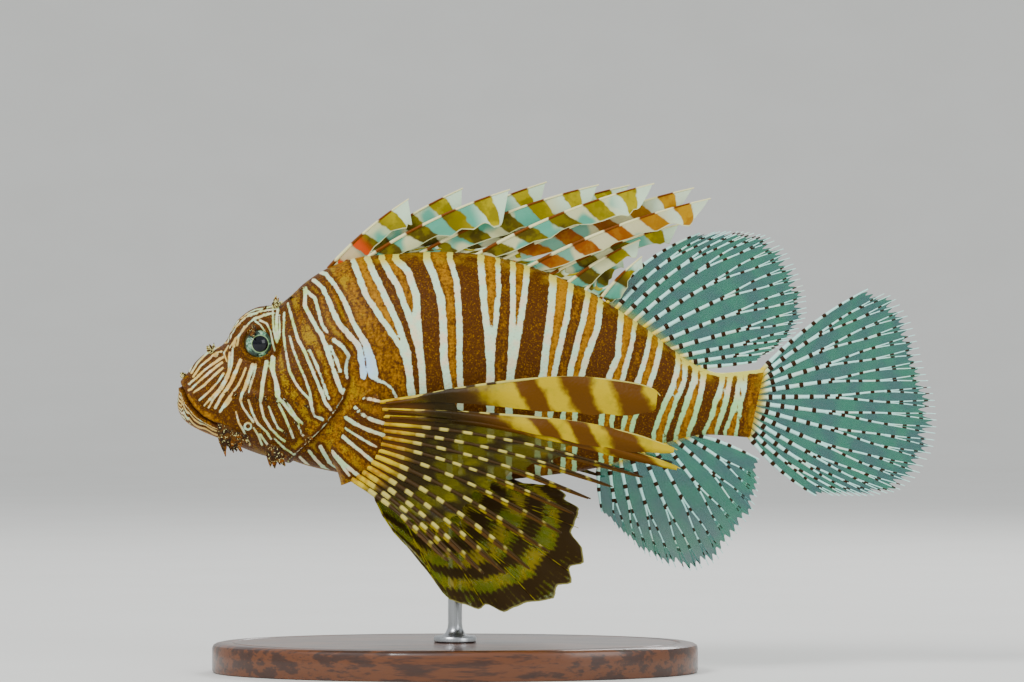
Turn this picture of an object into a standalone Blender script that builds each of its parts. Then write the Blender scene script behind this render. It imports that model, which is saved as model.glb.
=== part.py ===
"""A red lionfish at life size, held level on a plain display stand.

The fish is modelled in its own frame, in millimetres: x runs from the tip of the jaw to the tail,
z up from the long axis of the body, and the left side faces -Y. Each mesh is scaled to metres when
it is finished, and one empty lifts the fish so that the foot of its rod is the origin.
"""

import math
import random

import bmesh
import bpy
import numpy as np
from mathutils import Vector

MM = 0.001
GAP = 0.3
LEFT = -1
RIGHT = 1

# The fish on its stand.
ROD_STATION = 116.8
AXIS_HEIGHT = 114.2
BASE_LENGTH = 204.0
BASE_WIDTH = 124.0
BASE_THICKNESS = 12.6
BASE_BEVEL = 2.0
ROD_RADIUS = 3.0
FLANGE_RADIUS = 9.0
FLANGE_THICKNESS = 2.2

# The body: outline of the back and the belly, half width, height of the widest place, and how far
# the upper and the lower half of a section are drawn in (1 is an ellipse).
BACK = (
    (0.0, -0.6), (0.4, 2.2), (1.2, 5.4), (2.6, 8.6), (5.0, 12.6), (8.4, 16.8), (12.2, 20.0),
    (15.5, 22.0), (18.5, 22.9), (21.0, 25.6), (23.9, 31.1), (27.3, 35.3), (31.1, 38.0),
    (35.3, 39.5), (42.5, 40.1), (46.2, 42.6), (54.2, 49.8), (64.3, 56.0), (79.0, 60.5),
    (110.5, 62.4), (127.3, 61.3), (144.1, 57.5), (169.3, 47.5), (194.5, 31.9), (219.7, 14.0),
    (228.0, 11.6), (250.0, 13.6),
)
BELLY = (
    (0.0, -1.8), (0.8, -5.0), (2.9, -8.4), (7.6, -11.8), (20.2, -17.2), (37.0, -23.6),
    (64.3, -30.0), (90.0, -33.8), (118.9, -34.9), (152.5, -32.1), (177.7, -28.3),
    (205.0, -18.1), (221.8, -14.7), (250.0, -16.8),
)
HALF_WIDTH = (
    (0.0, 0.9), (0.8, 4.6), (2.5, 7.6), (5.0, 9.6), (8.4, 11.0), (14.0, 12.6), (20.0, 14.2),
    (27.0, 16.8), (34.0, 19.0), (44.0, 21.6), (56.0, 23.8), (74.0, 25.6), (92.0, 26.0),
    (112.0, 24.8), (135.0, 21.6), (160.0, 17.0), (190.0, 11.2), (221.0, 6.8), (246.0, 3.0),
)
WIDEST_HEIGHT = ((0.0, -1.0), (10.0, 1.0), (30.0, 4.0), (70.0, 8.0), (130.0, 10.0), (250.0, -1.0))
UPPER_DRAW = ((0.0, 1.0), (12.0, 1.0), (32.0, 0.88), (50.0, 1.15), (90.0, 1.1), (250.0, 1.0))
LOWER_DRAW = ((0.0, 0.9), (20.0, 1.0), (60.0, 1.15), (120.0, 1.05), (250.0, 1.0))

HEAD_STATIONS = (
    0.0, 0.4, 1.2, 2.5, 4.5, 7.0, 10.0, 14.0, 18.0, 21.0, 24.0, 27.5, 31.0, 34.5, 38.0, 42.0,
    46.0, 50.0, 54.0, 59.0, 64.0, 69.0, 73.0, 77.0,
)
TRUNK_START = 41.0
TRUNK_STEP = 6.0
TRUNK_END = 221.0
STEM_END = 252.0
HEAD_SIDES = 28
TRUNK_SIDES = 24
STEM_SIDES = 20

# Swellings of the head's sides: x, z, reach along x, reach along z, height.
HEAD_FORMS = (
    (33.5, 32.0, 8.5, 4.0, 2.4),
    (34.0, 22.5, 8.0, 7.0, -1.3),
    (40.0, 9.0, 13.0, 7.0, 1.3),
    (36.0, 1.6, 18.0, 1.9, 1.5),
    (57.0, -2.0, 9.0, 2.6, 1.2),
    (63.0, 12.0, 9.0, 20.0, 1.4),
    (50.0, 38.0, 9.0, 8.0, -1.4),
    (16.0, 15.0, 6.0, 6.0, 1.2),
    (26.0, -12.0, 12.0, 6.0, 1.0),
    (24.0, 8.0, 5.0, 9.0, -0.8),
)

# The rear edge of the gill cover, from the nape to the throat, which parts the head from the trunk.
GILL_EDGE = (
    (59.0, 80.0), (62.6, 57.0), (68.5, 42.0), (72.0, 25.2), (73.5, 8.0), (71.5, 0.5),
    (65.5, -8.4), (60.0, -14.3), (54.2, -19.7), (48.3, -25.0), (43.0, -60.0),
)
TAIL_BASE_TOP = (246.6, 13.4)
TAIL_BASE_FOOT = (240.4, -15.6)

# The eye, its outward axis on the left side, and the fold of skin round it.
EYE_STATION = 34.2
EYE_HEIGHT = 23.6
EYE_DEPTH = 11.4
EYE_RADIUS = 7.3
EYE_AXIS = (-0.12, -0.93, 0.33)
LID_ANGLE = math.radians(63.0)
LID_THICKNESS = 1.15

# The mouth: its line in side view, how far it is higher at the middle, and its lips.
MOUTH_LINE = ((0.0, 5.2), (2.4, 4.4), (5.5, -0.6), (8.4, -4.6), (11.8, -7.8), (18.0, -11.2))
MOUTH_RISE = 1.6
MOUTH_OPENING = 0.8
MOUTH_CORNER = 17.4
UPPER_LIP = (1.0, 1.9)
LOWER_LIP = (0.95, 1.1)

# Skin flaps of one side: root x, z, tip x, z, width, how far the tip stands out, number of lobes.
FLAPS = (
    (3.6, 9.6, 1.2, 11.8, 1.6, 0.2, 1),
    (15.2, 19.6, 12.8, 24.2, 2.0, 0.4, 1),
    (31.2, 31.6, 35.2, 28.2, 3.2, 6.0, 1),
    (40.6, 38.2, 43.8, 43.0, 1.6, 0.8, 1),
    (19.6, -9.6, 28.0, -21.6, 4.8, 2.2, 3),
    (40.5, -18.5, 44.0, -27.8, 5.0, 2.0, 2),
    (54.6, -13.6, 57.6, -18.6, 2.8, 1.4, 1),
)
FLAP_THICKNESS = 0.35

# Bony points of one side: x, z, length, and the way they point in side view, in degrees.
THORNS = (
    (22.5, 3.4, 1.5, 200.0), (30.5, 2.4, 1.6, 230.0), (38.5, 1.8, 1.6, 260.0),
    (46.5, 0.8, 1.7, 290.0), (55.0, -1.8, 1.8, 320.0), (50.0, -8.4, 2.4, 318.0),
    (45.5, -12.6, 2.4, 305.0), (37.0, 38.0, 1.5, 60.0), (47.5, 42.0, 1.8, 55.0),
    (52.5, 46.0, 1.8, 50.0),
)

# The fleshy base of the pectoral fin: a fan about a point behind the cheek.
LOBE_CENTRE = (62.0, -10.0)
LOBE_RADIUS = 27.0
LOBE_TOP = math.radians(36.0)
LOBE_FOOT = math.radians(-76.0)
LOBE_SIDE = 22.5
LOBE_FLARE = 0.18
LOBE_LEAN = 0.40
LOBE_EDGE = 2.2
LOBE_SINK = 7.0

# The fins. Heights, spreads and margins are places in side view; rows are shares of a ray.
MEMBRANE = 0.28
ROOT_GAP = 0.6
FIN_ROWS = (0.0, 0.2, 0.4, 0.6, 0.8, 0.975, 1.0)

SOFT_DORSAL_RAYS = 11
SOFT_DORSAL_BASE = (180.4, 219.0)
SOFT_DORSAL_MARGIN = (
    (219.7, 70.1), (233.0, 71.0), (247.4, 69.3), (259.6, 56.3), (265.0, 38.0), (259.4, 27.4),
    (243.4, 16.2),
)
ANAL_RAYS = 10
ANAL_BASE = (177.0, 218.0)
ANAL_MARGIN = (
    (178.5, -47.0), (188.2, -56.7), (201.6, -68.0), (219.9, -72.2), (233.5, -58.4), (244.3, -39.9),
    (244.4, -25.0),
)
TAIL_RAYS = 13
TAIL_ROOTS = (12.4, -14.6)
TAIL_MARGIN = (
    (290.2, 46.6), (300.7, 43.7), (308.7, 31.5), (313.7, 13.0), (319.2, -5.5), (318.4, -16.8),
    (303.2, -38.2), (291.1, -40.3), (268.4, -40.1),
)

# The spines of the back: roots along it, tips, the lane to either side in which each one leans,
# and how wide its flag is.
SPINE_ROOTS = (
    63.5, 70.6, 80.2, 90.3, 102.1, 113.8, 125.6, 136.9, 147.4, 156.7, 164.2, 171.4, 177.7,
)
SPINE_TIPS = (
    (97.4, 84.4), (120.1, 89.0), (139.9, 88.2), (155.4, 91.8), (177.2, 90.3), (190.3, 90.3),
    (200.3, 90.7), (217.1, 89.0), (223.9, 84.4), (211.3, 73.9), (194.5, 67.2), (187.2, 61.3),
    (195.2, 60.2),
)
SPINE_LANES = (
    -0.12, 0.12, -0.36, 0.36, -0.12, 0.12, -0.36, -0.12, -0.36, 0.12, -0.12, 0.36, -0.3,
)
SPINE_FLAGS = (11.0, 13.0, 13.0, 13.0, 13.0, 12.0, 11.0, 10.0, 9.0, 7.5, 6.0, 5.0, 4.0)
SPINE_ROWS = (0.0, 0.22, 0.45, 0.7, 0.94, 1.0)
SPINE_WIDTH = 0.9
SPINE_BOW = 0.035
SPINE_SINK = 1.6
LANE_REACH = 20.0
FLAG_SIDE = Vector((0.4, 0.0, -1.0))
WEB_HEIGHT = 9.0

PECTORAL_TOP = math.radians(20.0)
PECTORAL_FOOT = math.radians(-62.0)
PECTORAL_SPREAD = (50.0, 37.0)
PECTORAL_TIPS = (
    (201.2, 0.8), (208.3, -20.2), (209.6, -27.7), (194.5, -31.1), (182.0, -35.0), (173.0, -40.0),
    (166.0, -46.0), (161.0, -54.0), (156.0, -62.0), (148.0, -69.0), (138.0, -71.0),
    (129.0, -71.0), (122.0, -69.5), (114.5, -66.0),
)
PECTORAL_ROWS = (0.0, 0.12, 0.25, 0.4, 0.55, 0.7, 0.85, 0.95, 1.0)
PECTORAL_BLADES = {0: (6.0, 7.6), 1: (3.4, 3.4), 2: (0.8, 1.4)}
PECTORAL_BOWS = {1: -0.01, 2: 0.005}

PELVIC_BASE = (81.0, 90.5)
PELVIC_SIDE = 7.5
PELVIC_SPREAD = 17.0
PELVIC_BOWS = (-0.09, 0.03, 0.03, 0.03, 0.03, 0.02, 0.0)
PELVIC_TIPS = (
    (98.0, -61.5), (116.5, -87.0), (138.0, -89.0), (161.0, -85.0), (171.6, -68.0), (172.5, -48.0),
    (164.0, -36.8),
)


def curve_through(points):
    """A smooth function through (x, value) points that doesn't swing past them."""
    stations, values = np.array(points, dtype=float).T
    steps = np.diff(stations)
    slopes = np.diff(values) / steps
    tangents = np.empty_like(values)
    tangents[0], tangents[-1] = slopes[0], slopes[-1]
    for i in range(1, len(slopes)):
        before, after = slopes[i - 1], slopes[i]
        tangents[i] = 0.0 if before * after <= 0.0 else 2.0 * before * after / (before + after)

    def value(x):
        i = int(np.clip(np.searchsorted(stations, x) - 1, 0, len(steps) - 1))
        t = min(max((x - stations[i]) / steps[i], 0.0), 1.0)
        rise = (3.0 - 2.0 * t) * t * t
        return (
            values[i] * (1.0 - rise)
            + values[i + 1] * rise
            + tangents[i] * steps[i] * t * (1.0 - t) ** 2
            - tangents[i + 1] * steps[i] * t * t * (1.0 - t)
        )

    return value


def path_through(points):
    """A smooth path through points, as a function of a fraction of its length."""
    points = np.array(points, dtype=float)
    lengths = np.concatenate(([0.0], np.cumsum(np.linalg.norm(np.diff(points, axis=0), axis=1))))
    fractions = lengths / lengths[-1]
    axes = [curve_through(list(zip(fractions, axis))) for axis in points.T]
    return lambda t: tuple(axis(t) for axis in axes)


back = curve_through(BACK)
belly = curve_through(BELLY)
half_width = curve_through(HALF_WIDTH)
widest_height = curve_through(WIDEST_HEIGHT)
upper_draw = curve_through(UPPER_DRAW)
lower_draw = curve_through(LOWER_DRAW)
mouth_line = curve_through(MOUTH_LINE)


def swelling(x, z, forms):
    """How far the named forms push the side of the body out at this place."""
    return sum(
        height * math.exp(-(((x - fx) / reach_x) ** 2) - ((z - fz) / reach_z) ** 2)
        for fx, fz, reach_x, reach_z, height in forms
    )


def section_point(x, angle, forms=()):
    """A point of the skin at a station. The angle runs from the back down the left side."""
    middle = widest_height(x)
    up, side = math.cos(angle), math.sin(angle)
    if up >= 0.0:
        z = middle + (back(x) - middle) * up
        draw = upper_draw(x)
    else:
        z = middle + (middle - belly(x)) * up
        draw = lower_draw(x)
    out = half_width(x) * abs(side) ** draw + swelling(x, z, forms) * abs(side)
    return Vector((x, -math.copysign(out, side), z))


def skin_side(x, z, forms=()):
    """How far the skin is from the middle plane at this place of the side."""
    middle = widest_height(x)
    if z >= middle:
        up = (z - middle) / (back(x) - middle)
        draw = upper_draw(x)
    else:
        up = (middle - z) / (middle - belly(x))
        draw = lower_draw(x)
    side = math.sqrt(max(0.0, 1.0 - min(up, 1.0) ** 2))
    return half_width(x) * side**draw + swelling(x, z, forms) * side


def skin_foot(x, y):
    """Height of the belly's skin at a distance from the middle plane."""
    side = min(abs(y) / half_width(x), 1.0) ** (1.0 / lower_draw(x))
    middle = widest_height(x)
    return middle - (middle - belly(x)) * math.sqrt(1.0 - side * side)


def shaped_grid(columns, rows, place):
    """A sheet of columns by rows cells, each corner put where place(column, row) says."""
    bm = bmesh.new()
    bmesh.ops.create_grid(bm, x_segments=columns, y_segments=rows, size=1.0)
    for vert in bm.verts:
        column = round((vert.co.x + 1.0) * 0.5 * columns)
        row = round((vert.co.y + 1.0) * 0.5 * rows)
        vert.co = Vector(place(column, row))
    return bm


def close_round(bm):
    """Welds the seam of a rolled sheet, closes its ends and turns its faces out."""
    bmesh.ops.remove_doubles(bm, verts=bm.verts, dist=1e-4)
    rims = [edge for edge in bm.edges if edge.is_boundary]
    if rims:
        bmesh.ops.holes_fill(bm, edges=rims, sides=0)
    bmesh.ops.triangulate(bm, faces=bm.faces)
    bmesh.ops.recalc_face_normals(bm, faces=bm.faces)
    return bm


def tube(path, widths, sides, flat=1.0, across=Vector((0.0, 1.0, 0.0))):
    """A closed rod along a list of points; flat scales its thickness along the across axis."""
    path = [Vector(point) for point in path]

    def place(column, row):
        ahead = path[min(row + 1, len(path) - 1)] - path[max(row - 1, 0)]
        level = ahead.normalized().cross(across).normalized()
        up = level.cross(ahead.normalized())
        angle = 2.0 * math.pi * column / sides
        return path[row] + widths[row] * (math.cos(angle) * level + flat * math.sin(angle) * up)

    return close_round(shaped_grid(sides, len(path) - 1, place))


def thick_sheet(bm, thickness_of):
    """Turns a sheet into a solid. Both faces are split alike and lie thickness_of(vert) either
    side of it along Y, and a band of faces joins their rims."""
    halves = {vert.index: thickness_of(vert) for vert in bm.verts}
    bmesh.ops.triangulate(bm, faces=bm.faces)
    sheet = list(bm.verts)
    rims = [(edge.verts[0], edge.verts[1]) for edge in bm.edges if edge.is_boundary]
    copy = bmesh.ops.duplicate(bm, geom=bm.verts[:] + bm.edges[:] + bm.faces[:])
    twin = copy["vert_map"]
    for vert in sheet:
        vert.co.y -= halves[vert.index]
        twin[vert].co.y += halves[vert.index]
    for start, end in rims:
        bm.faces.new((start, end, twin[end], twin[start]))
    bmesh.ops.triangulate(bm, faces=[face for face in bm.faces if len(face.verts) > 3])
    bmesh.ops.recalc_face_normals(bm, faces=bm.faces)
    return bm


def rayed_fin(lines, widths_of, heights_of, webs, shares, membrane=MEMBRANE, after=None):
    """A fin whose rays are ridges of one sheet.

    lines[i](v) is the line of ray i from root to tip, widths_of(i, v) how far the ridge, or the
    leaf that it carries, reaches toward the ray before and the ray after, heights_of(i, v) half
    its thickness, shares the places of the rows along a ray, and webs[i] the row at which the
    membrane between the rays i and i + 1 ends. A lone ray names the way that after lies."""
    rays = len(lines)
    rows = len(shares) - 1

    def place(column, row):
        ray, part = divmod(column, 3)
        v = shares[row]
        line = lines[ray]
        ahead = line(min(v + 0.02, 1.0)) - line(max(v - 0.02, 0.0))
        toward = after or lines[min(ray + 1, rays - 1)](v) - lines[max(ray - 1, 0)](v)
        across = Vector((ahead.z, 0.0, -ahead.x)) if row or after else toward.copy()
        across.normalize()
        if across.dot(toward) < 0.0:
            across.negate()
        reach_before, reach_after = widths_of(ray, v)
        return line(v) + across * (-reach_before, 0.0, reach_after)[part]

    columns = 3 * rays - 1
    bm = shaped_grid(columns, rows, place)
    spot = {vert.index: (vert.index % (columns + 1), vert.index // (columns + 1)) for vert in bm.verts}
    free = []
    for face in bm.faces:
        column = min(spot[vert.index][0] for vert in face.verts)
        row = min(spot[vert.index][1] for vert in face.verts)
        if column % 3 == 2 and row >= webs[column // 3]:
            free.append(face)
    bmesh.ops.delete(bm, geom=free, context="FACES")

    def thickness_of(vert):
        column, row = spot[vert.index]
        return heights_of(column // 3, shares[row]) if column % 3 == 1 else membrane

    return thick_sheet(bm, thickness_of)


def material(name, colour, roughness, metallic=0.0):
    made = bpy.data.materials.new(name)
    made.use_nodes = True
    shader = made.node_tree.nodes["Principled BSDF"]
    shader.inputs["Base Color"].default_value = (*colour, 1.0)
    shader.inputs["Roughness"].default_value = roughness
    shader.inputs["Metallic"].default_value = metallic
    return made


def loose_object(bm, name):
    """A mesh object linked to the scene, in the unit the mesh has."""
    mesh = bpy.data.meshes.new(name)
    bm.to_mesh(mesh)
    bm.free()
    made = bpy.data.objects.new(name, mesh)
    bpy.context.scene.collection.objects.link(made)
    return made


def combine(bm, others, operation):
    """Joins meshes to a mesh, or cuts them from it, and gives back its largest closed surface."""
    tools = bpy.data.collections.new("tools")
    bpy.context.scene.collection.children.link(tools)
    for other in others:
        tool = loose_object(other, "tool")
        bpy.context.scene.collection.objects.unlink(tool)
        tools.objects.link(tool)
    target = loose_object(bm, "target")
    boolean = target.modifiers.new("combine", "BOOLEAN")
    boolean.operation = operation
    boolean.solver = "EXACT"
    boolean.operand_type = "COLLECTION"
    boolean.collection = tools
    evaluated = target.evaluated_get(bpy.context.evaluated_depsgraph_get())
    result = bmesh.new()
    result.from_mesh(evaluated.to_mesh())
    evaluated.to_mesh_clear()
    for used in [*tools.objects, target]:
        bpy.data.objects.remove(used, do_unlink=True)
    bpy.data.collections.remove(tools)
    return largest_surface(result)


def largest_surface(bm):
    """Keeps the closed surface that holds the most volume."""
    bmesh.ops.triangulate(bm, faces=bm.faces)
    unseen = set(bm.faces)
    surfaces = []
    while unseen:
        front = [unseen.pop()]
        surface = []
        while front:
            face = front.pop()
            surface.append(face)
            for edge in face.edges:
                for beyond in edge.link_faces:
                    if beyond in unseen:
                        unseen.remove(beyond)
                        front.append(beyond)
        surfaces.append(surface)

    def volume(surface):
        return abs(
            sum(f.verts[0].co.cross(f.verts[1].co).dot(f.verts[2].co) for f in surface)
        )

    surfaces.sort(key=volume)
    for surface in surfaces[:-1]:
        bmesh.ops.delete(bm, geom=surface, context="FACES")
    loose = [vert for vert in bm.verts if not vert.link_faces]
    bmesh.ops.delete(bm, geom=loose, context="VERTS")
    return bm


def node(name, bm, finish, parent=None):
    """Finishes a part: metres, smooth shading with sharp edges kept, its material, its parent."""
    bmesh.ops.scale(bm, vec=(MM, MM, MM), verts=bm.verts)
    made = loose_object(bm, name)
    made.data.shade_smooth()
    made.data.set_sharp_from_angle(angle=math.radians(35.0))
    made.data.materials.append(finish)
    made.parent = parent
    return made


def block(outline, half_depth=90.0):
    """A prism of an outline in side view, right through the fish."""
    bm = bmesh.new()
    front = [bm.verts.new((x, -half_depth, z)) for x, z in outline]
    face = bm.faces.new(front)
    depth = bmesh.ops.extrude_face_region(bm, geom=[face])
    moved = [item for item in depth["geom"] if isinstance(item, bmesh.types.BMVert)]
    bmesh.ops.translate(bm, vec=(0.0, 2.0 * half_depth, 0.0), verts=moved)
    bmesh.ops.triangulate(bm, faces=bm.faces)
    bmesh.ops.recalc_face_normals(bm, faces=bm.faces)
    return bm


def ball(centre, radius, segments, rings):
    bm = bmesh.new()
    bmesh.ops.create_uvsphere(bm, u_segments=segments, v_segments=rings, radius=radius)
    bmesh.ops.rotate(bm, cent=(0, 0, 0), matrix=turn_to_side(), verts=bm.verts)
    bmesh.ops.translate(bm, vec=centre, verts=bm.verts)
    return bm


def turn_to_side():
    """Turns an axis that points up so that it points to the left side."""
    return Vector((0.0, 0.0, 1.0)).rotation_difference(Vector((0.0, -1.0, 0.0))).to_matrix()


def body_loft(stations, sides, forms=()):
    """The skin between the first and the last station, closed at both ends."""

    def place(column, row):
        return section_point(stations[row], 2.0 * math.pi * column / sides, forms)

    return close_round(shaped_grid(sides, len(stations) - 1, place))


def beyond_gill_edge():
    """All that lies behind the gill cover's edge."""
    return block((*GILL_EDGE, (140.0, -60.0), (140.0, 80.0)))


def before_trunk():
    """All that lies before the trunk, with the gap to the head."""
    shifted = [(x + GAP, z - 0.5 * GAP) for x, z in GILL_EDGE]
    return block(((-20.0, 80.0), *shifted, (-20.0, -60.0)))


def eye_centre(side):
    return Vector((EYE_STATION, side * EYE_DEPTH, EYE_HEIGHT))


def lid_ring(side):
    """The fold of skin round the eye: a ring that lies on the eyeball."""
    axis = Vector((EYE_AXIS[0], -side * EYE_AXIS[1], EYE_AXIS[2])).normalized()
    level = axis.cross(Vector((0.0, 0.0, 1.0))).normalized()
    up = level.cross(axis)

    def place(column, row):
        round_eye = 2.0 * math.pi * column / 16
        round_fold = 2.0 * math.pi * row / 4
        outward = level * math.cos(round_eye) + up * math.sin(round_eye)
        spoke = axis * math.cos(LID_ANGLE) + outward * math.sin(LID_ANGLE)
        tangent = outward * math.cos(LID_ANGLE) - axis * math.sin(LID_ANGLE)
        fold = spoke * math.cos(round_fold) + tangent * math.sin(round_fold)
        return eye_centre(side) + spoke * EYE_RADIUS + fold * LID_THICKNESS

    return close_round(shaped_grid(16, 4, place))


def mouth_rise(x, y):
    """How far the mouth's line is higher at this distance from the middle plane."""
    return MOUTH_RISE * (1.0 - min((y / half_width(max(x, 1.0))) ** 2, 1.4))


def mouth_point(x, offset):
    """A point of the skin beside the mouth's line, as x, distance from the middle, height."""
    side = 0.0
    for _ in range(4):
        z = mouth_line(x) + mouth_rise(x, side) + offset
        side = skin_side(x, z, HEAD_FORMS) if z < back(x) else 0.0
    return x, side, z


def lip(radii, offset):
    """A lip from one corner of the mouth round its front to the other."""
    front = 0.3
    while mouth_point(front, offset)[1] == 0.0:
        front += 0.05
    half = []
    for step in range(8):
        share = (step / 7) ** 1.7
        half.append(mouth_point(front + (MOUTH_CORNER - front) * share, offset))
    path = [(x, -y, z) for x, y, z in half[:0:-1]] + list(half)
    widths = [radii[0] + (radii[1] - radii[0]) * (abs(i - 7) / 7) ** 1.5 for i in range(15)]
    widths[0] = widths[-1] = 0.6 * radii[1]
    return tube(path, widths, 5, flat=0.8)


def flap(place, side, dice):
    """A leafy flap of skin, of one lobe or a fan of lobes that share their root."""
    root_x, root_z, tip_x, tip_z, width, stand_out, lobes = place
    root_y = skin_side(root_x, root_z, HEAD_FORMS)
    root = Vector((root_x, side * (root_y - 0.8), root_z))
    tip = Vector((tip_x, side * (skin_side_or_root(tip_x, tip_z, root_y) + stand_out), tip_z))
    made = []
    for lobe in range(lobes):
        turn = (lobe - 0.5 * (lobes - 1)) * 0.42
        along = tip - root
        swing = Vector(
            (
                along.x * math.cos(turn) - along.z * math.sin(turn),
                along.y + side * 0.9 * (lobe % 2),
                along.x * math.sin(turn) + along.z * math.cos(turn),
            )
        )
        length = dice.uniform(0.86, 1.0)
        path = [root + swing * (length * share) for share in (0.0, 0.4, 0.8, 1.0)]
        widths = [0.3 * width, 0.5 * width, 0.42 * width, 0.12 * width]
        made.append(tube(path, widths, 4, flat=FLAP_THICKNESS / (0.4 * width)))
    return made


def skin_side_or_root(x, z, root_y):
    """The skin's distance from the middle plane, or the root's where the place is off the body."""
    if belly(x) + 1.0 < z < back(x) - 1.0:
        return skin_side(x, z, HEAD_FORMS)
    return 0.85 * root_y


def thorn(place, side):
    """A small bony point, its root sunk in the skin."""
    x, z, length, heading = place
    root_y = skin_side(x, z, HEAD_FORMS)
    way = Vector((math.cos(math.radians(heading)), 0.9 * side, math.sin(math.radians(heading))))
    root = Vector((x, side * (root_y - 1.2), z))
    reach = 1.2 + length
    path = [root, root + way.normalized() * reach]
    return tube(path, [0.95, 0.12], 4, across=Vector((0.0, 0.3, 1.0)))


def nostril(side):
    """The raised rim of a front nostril."""
    x, z = 17.0, 18.8
    y = skin_side(x, z, HEAD_FORMS)
    axis = Vector((-0.25, 0.75 * side, 0.6)).normalized()
    level = axis.cross(Vector((0.0, 0.0, 1.0))).normalized()
    up = level.cross(axis)

    def place(column, row):
        round_rim = 2.0 * math.pi * column / 8
        round_fold = 2.0 * math.pi * row / 4
        outward = level * math.cos(round_rim) + up * math.sin(round_rim)
        centre = Vector((x, side * y, z)) + outward * 1.15
        return centre + (outward * math.cos(round_fold) + axis * math.sin(round_fold)) * 0.55

    return close_round(shaped_grid(8, 4, place))


def mouth_cut():
    """The opening of the mouth: a thin sheet that is higher at the middle."""
    reach = 28.0
    ahead = 4.0
    corner = MOUTH_LINE[-1][0]

    def place(column, row):
        x = (corner + ahead) * row / 6 - ahead
        y = reach * (column / 6 - 0.5)
        return (x, y, mouth_line(max(x, 0.0)) + mouth_rise(x, y))

    bm = shaped_grid(6, 6, place)
    bmesh.ops.recalc_face_normals(bm, faces=bm.faces)
    bmesh.ops.solidify(bm, geom=bm.faces[:], thickness=MOUTH_OPENING)
    bmesh.ops.triangulate(bm, faces=bm.faces)
    bmesh.ops.recalc_face_normals(bm, faces=bm.faces)
    return bm


def make_head(finish, parent):
    dice = random.Random(7)
    head = body_loft(HEAD_STATIONS, HEAD_SIDES, HEAD_FORMS)
    forms = [lip(UPPER_LIP, 1.2), lip(LOWER_LIP, -1.1)]
    for side in (LEFT, RIGHT):
        forms.append(lid_ring(side))
        forms.append(nostril(side))
        forms += [thorn(place, side) for place in THORNS]
        for place in FLAPS:
            forms += flap(place, side, dice)
    head = combine(head, forms, "UNION")
    cuts = [mouth_cut(), beyond_gill_edge()]
    cuts += [ball(eye_centre(side), EYE_RADIUS + GAP, 16, 10) for side in (LEFT, RIGHT)]
    return node("head", combine(head, cuts, "DIFFERENCE"), finish, parent)


def make_eyes(finish, parent):
    for side, name in ((LEFT, "eye_left"), (RIGHT, "eye_right")):
        node(name, ball(eye_centre(side), EYE_RADIUS, 16, 10), finish, parent)


def lobe_side(x, z):
    """Distance of the pectoral fin's base from the middle plane."""
    centre_x, centre_z = LOBE_CENTRE
    return LOBE_SIDE + LOBE_FLARE * (x - centre_x) + LOBE_LEAN * (z - centre_z)


def pectoral_lobe(side):
    """The fleshy base of one pectoral fin: a fan that rises out of the side toward its edge."""
    rim = LOBE_EDGE
    loop = ((0.0, -13.0), (0.6, -9.0), (1.0, -rim), (1.0, rim), (0.75, 1.6), (0.4, -0.2), (0.0, -3.0))

    def place(column, row):
        part = column / 14
        angle = LOBE_FOOT + (LOBE_TOP - LOBE_FOOT) * part
        fade = math.sqrt(max(0.01, 1.0 - (2.0 * part - 1.0) ** 8))
        share, level = loop[row]
        radius = share * (LOBE_RADIUS - GAP)
        x = LOBE_CENTRE[0] + radius * math.cos(angle)
        z = LOBE_CENTRE[1] + radius * math.sin(angle)
        return (x, side * (lobe_side(x, z) + level * fade - LOBE_SINK * (1.0 - fade)), z)

    return close_round(shaped_grid(14, len(loop) - 1, place))


def make_trunk(finish, parent):
    stations = np.arange(TRUNK_START, TRUNK_END + TRUNK_STEP + 1.0, TRUNK_STEP)
    trunk = body_loft(list(stations), TRUNK_SIDES)
    trunk = combine(trunk, [pectoral_lobe(side) for side in (LEFT, RIGHT)], "UNION")
    behind = block(((TRUNK_END, -60.0), (290.0, -60.0), (290.0, 80.0), (TRUNK_END, 80.0)))
    return node("trunk", combine(trunk, [before_trunk(), behind], "DIFFERENCE"), finish, parent)


def tail_base_edge(z, shift=0.0):
    """Where the stem of the tail ends, at a height."""
    (top_x, top_z), (foot_x, foot_z) = TAIL_BASE_TOP, TAIL_BASE_FOOT
    return foot_x + (top_x - foot_x) * (z - foot_z) / (top_z - foot_z) + shift


def make_stem(finish, parent):
    start = TRUNK_END + GAP
    stations = np.linspace(start, STEM_END, 6)
    stem = body_loft(list(stations), STEM_SIDES)
    high, low = 60.0, -60.0
    behind = block(
        ((tail_base_edge(low), low), (290.0, low), (290.0, high), (tail_base_edge(high), high))
    )
    return node("tail_stem", combine(stem, [behind], "DIFFERENCE"), finish, parent)


def bowed(start, end, bow):
    """A ray from start to end that bows by a share of its length in side view."""
    start, end = Vector(start), Vector(end)
    along = end - start
    across = Vector((-along.z, 0.0, along.x))

    def line(v):
        return start + along * v + across * (4.0 * bow * v * (1.0 - v))

    return line


def tapered(root, tip):
    """A size that changes evenly from the root of a ray to its tip."""
    return lambda ray, v: root + (tip - root) * v


def both_ways(size):
    return lambda ray, v: (size(ray, v), size(ray, v))


def middle_fin(roots, margin, bow, root_width, root_height):
    """A fin of the middle plane: its ray roots, the path of its ray tips, and how the first and
    the last ray bow."""
    rays = len(roots)
    lines = []
    for ray, (root_x, root_z) in enumerate(roots):
        part = ray / (rays - 1)
        tip_x, tip_z = margin(part)
        share = bow[0] + (bow[1] - bow[0]) * part
        lines.append(bowed((root_x, 0.0, root_z), (tip_x, 0.0, tip_z), share))
    webs = [len(FIN_ROWS) - 2] * (rays - 1)
    widths = both_ways(tapered(root_width, 0.35))
    return rayed_fin(lines, widths, tapered(root_height, 0.4), webs, FIN_ROWS)


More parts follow.
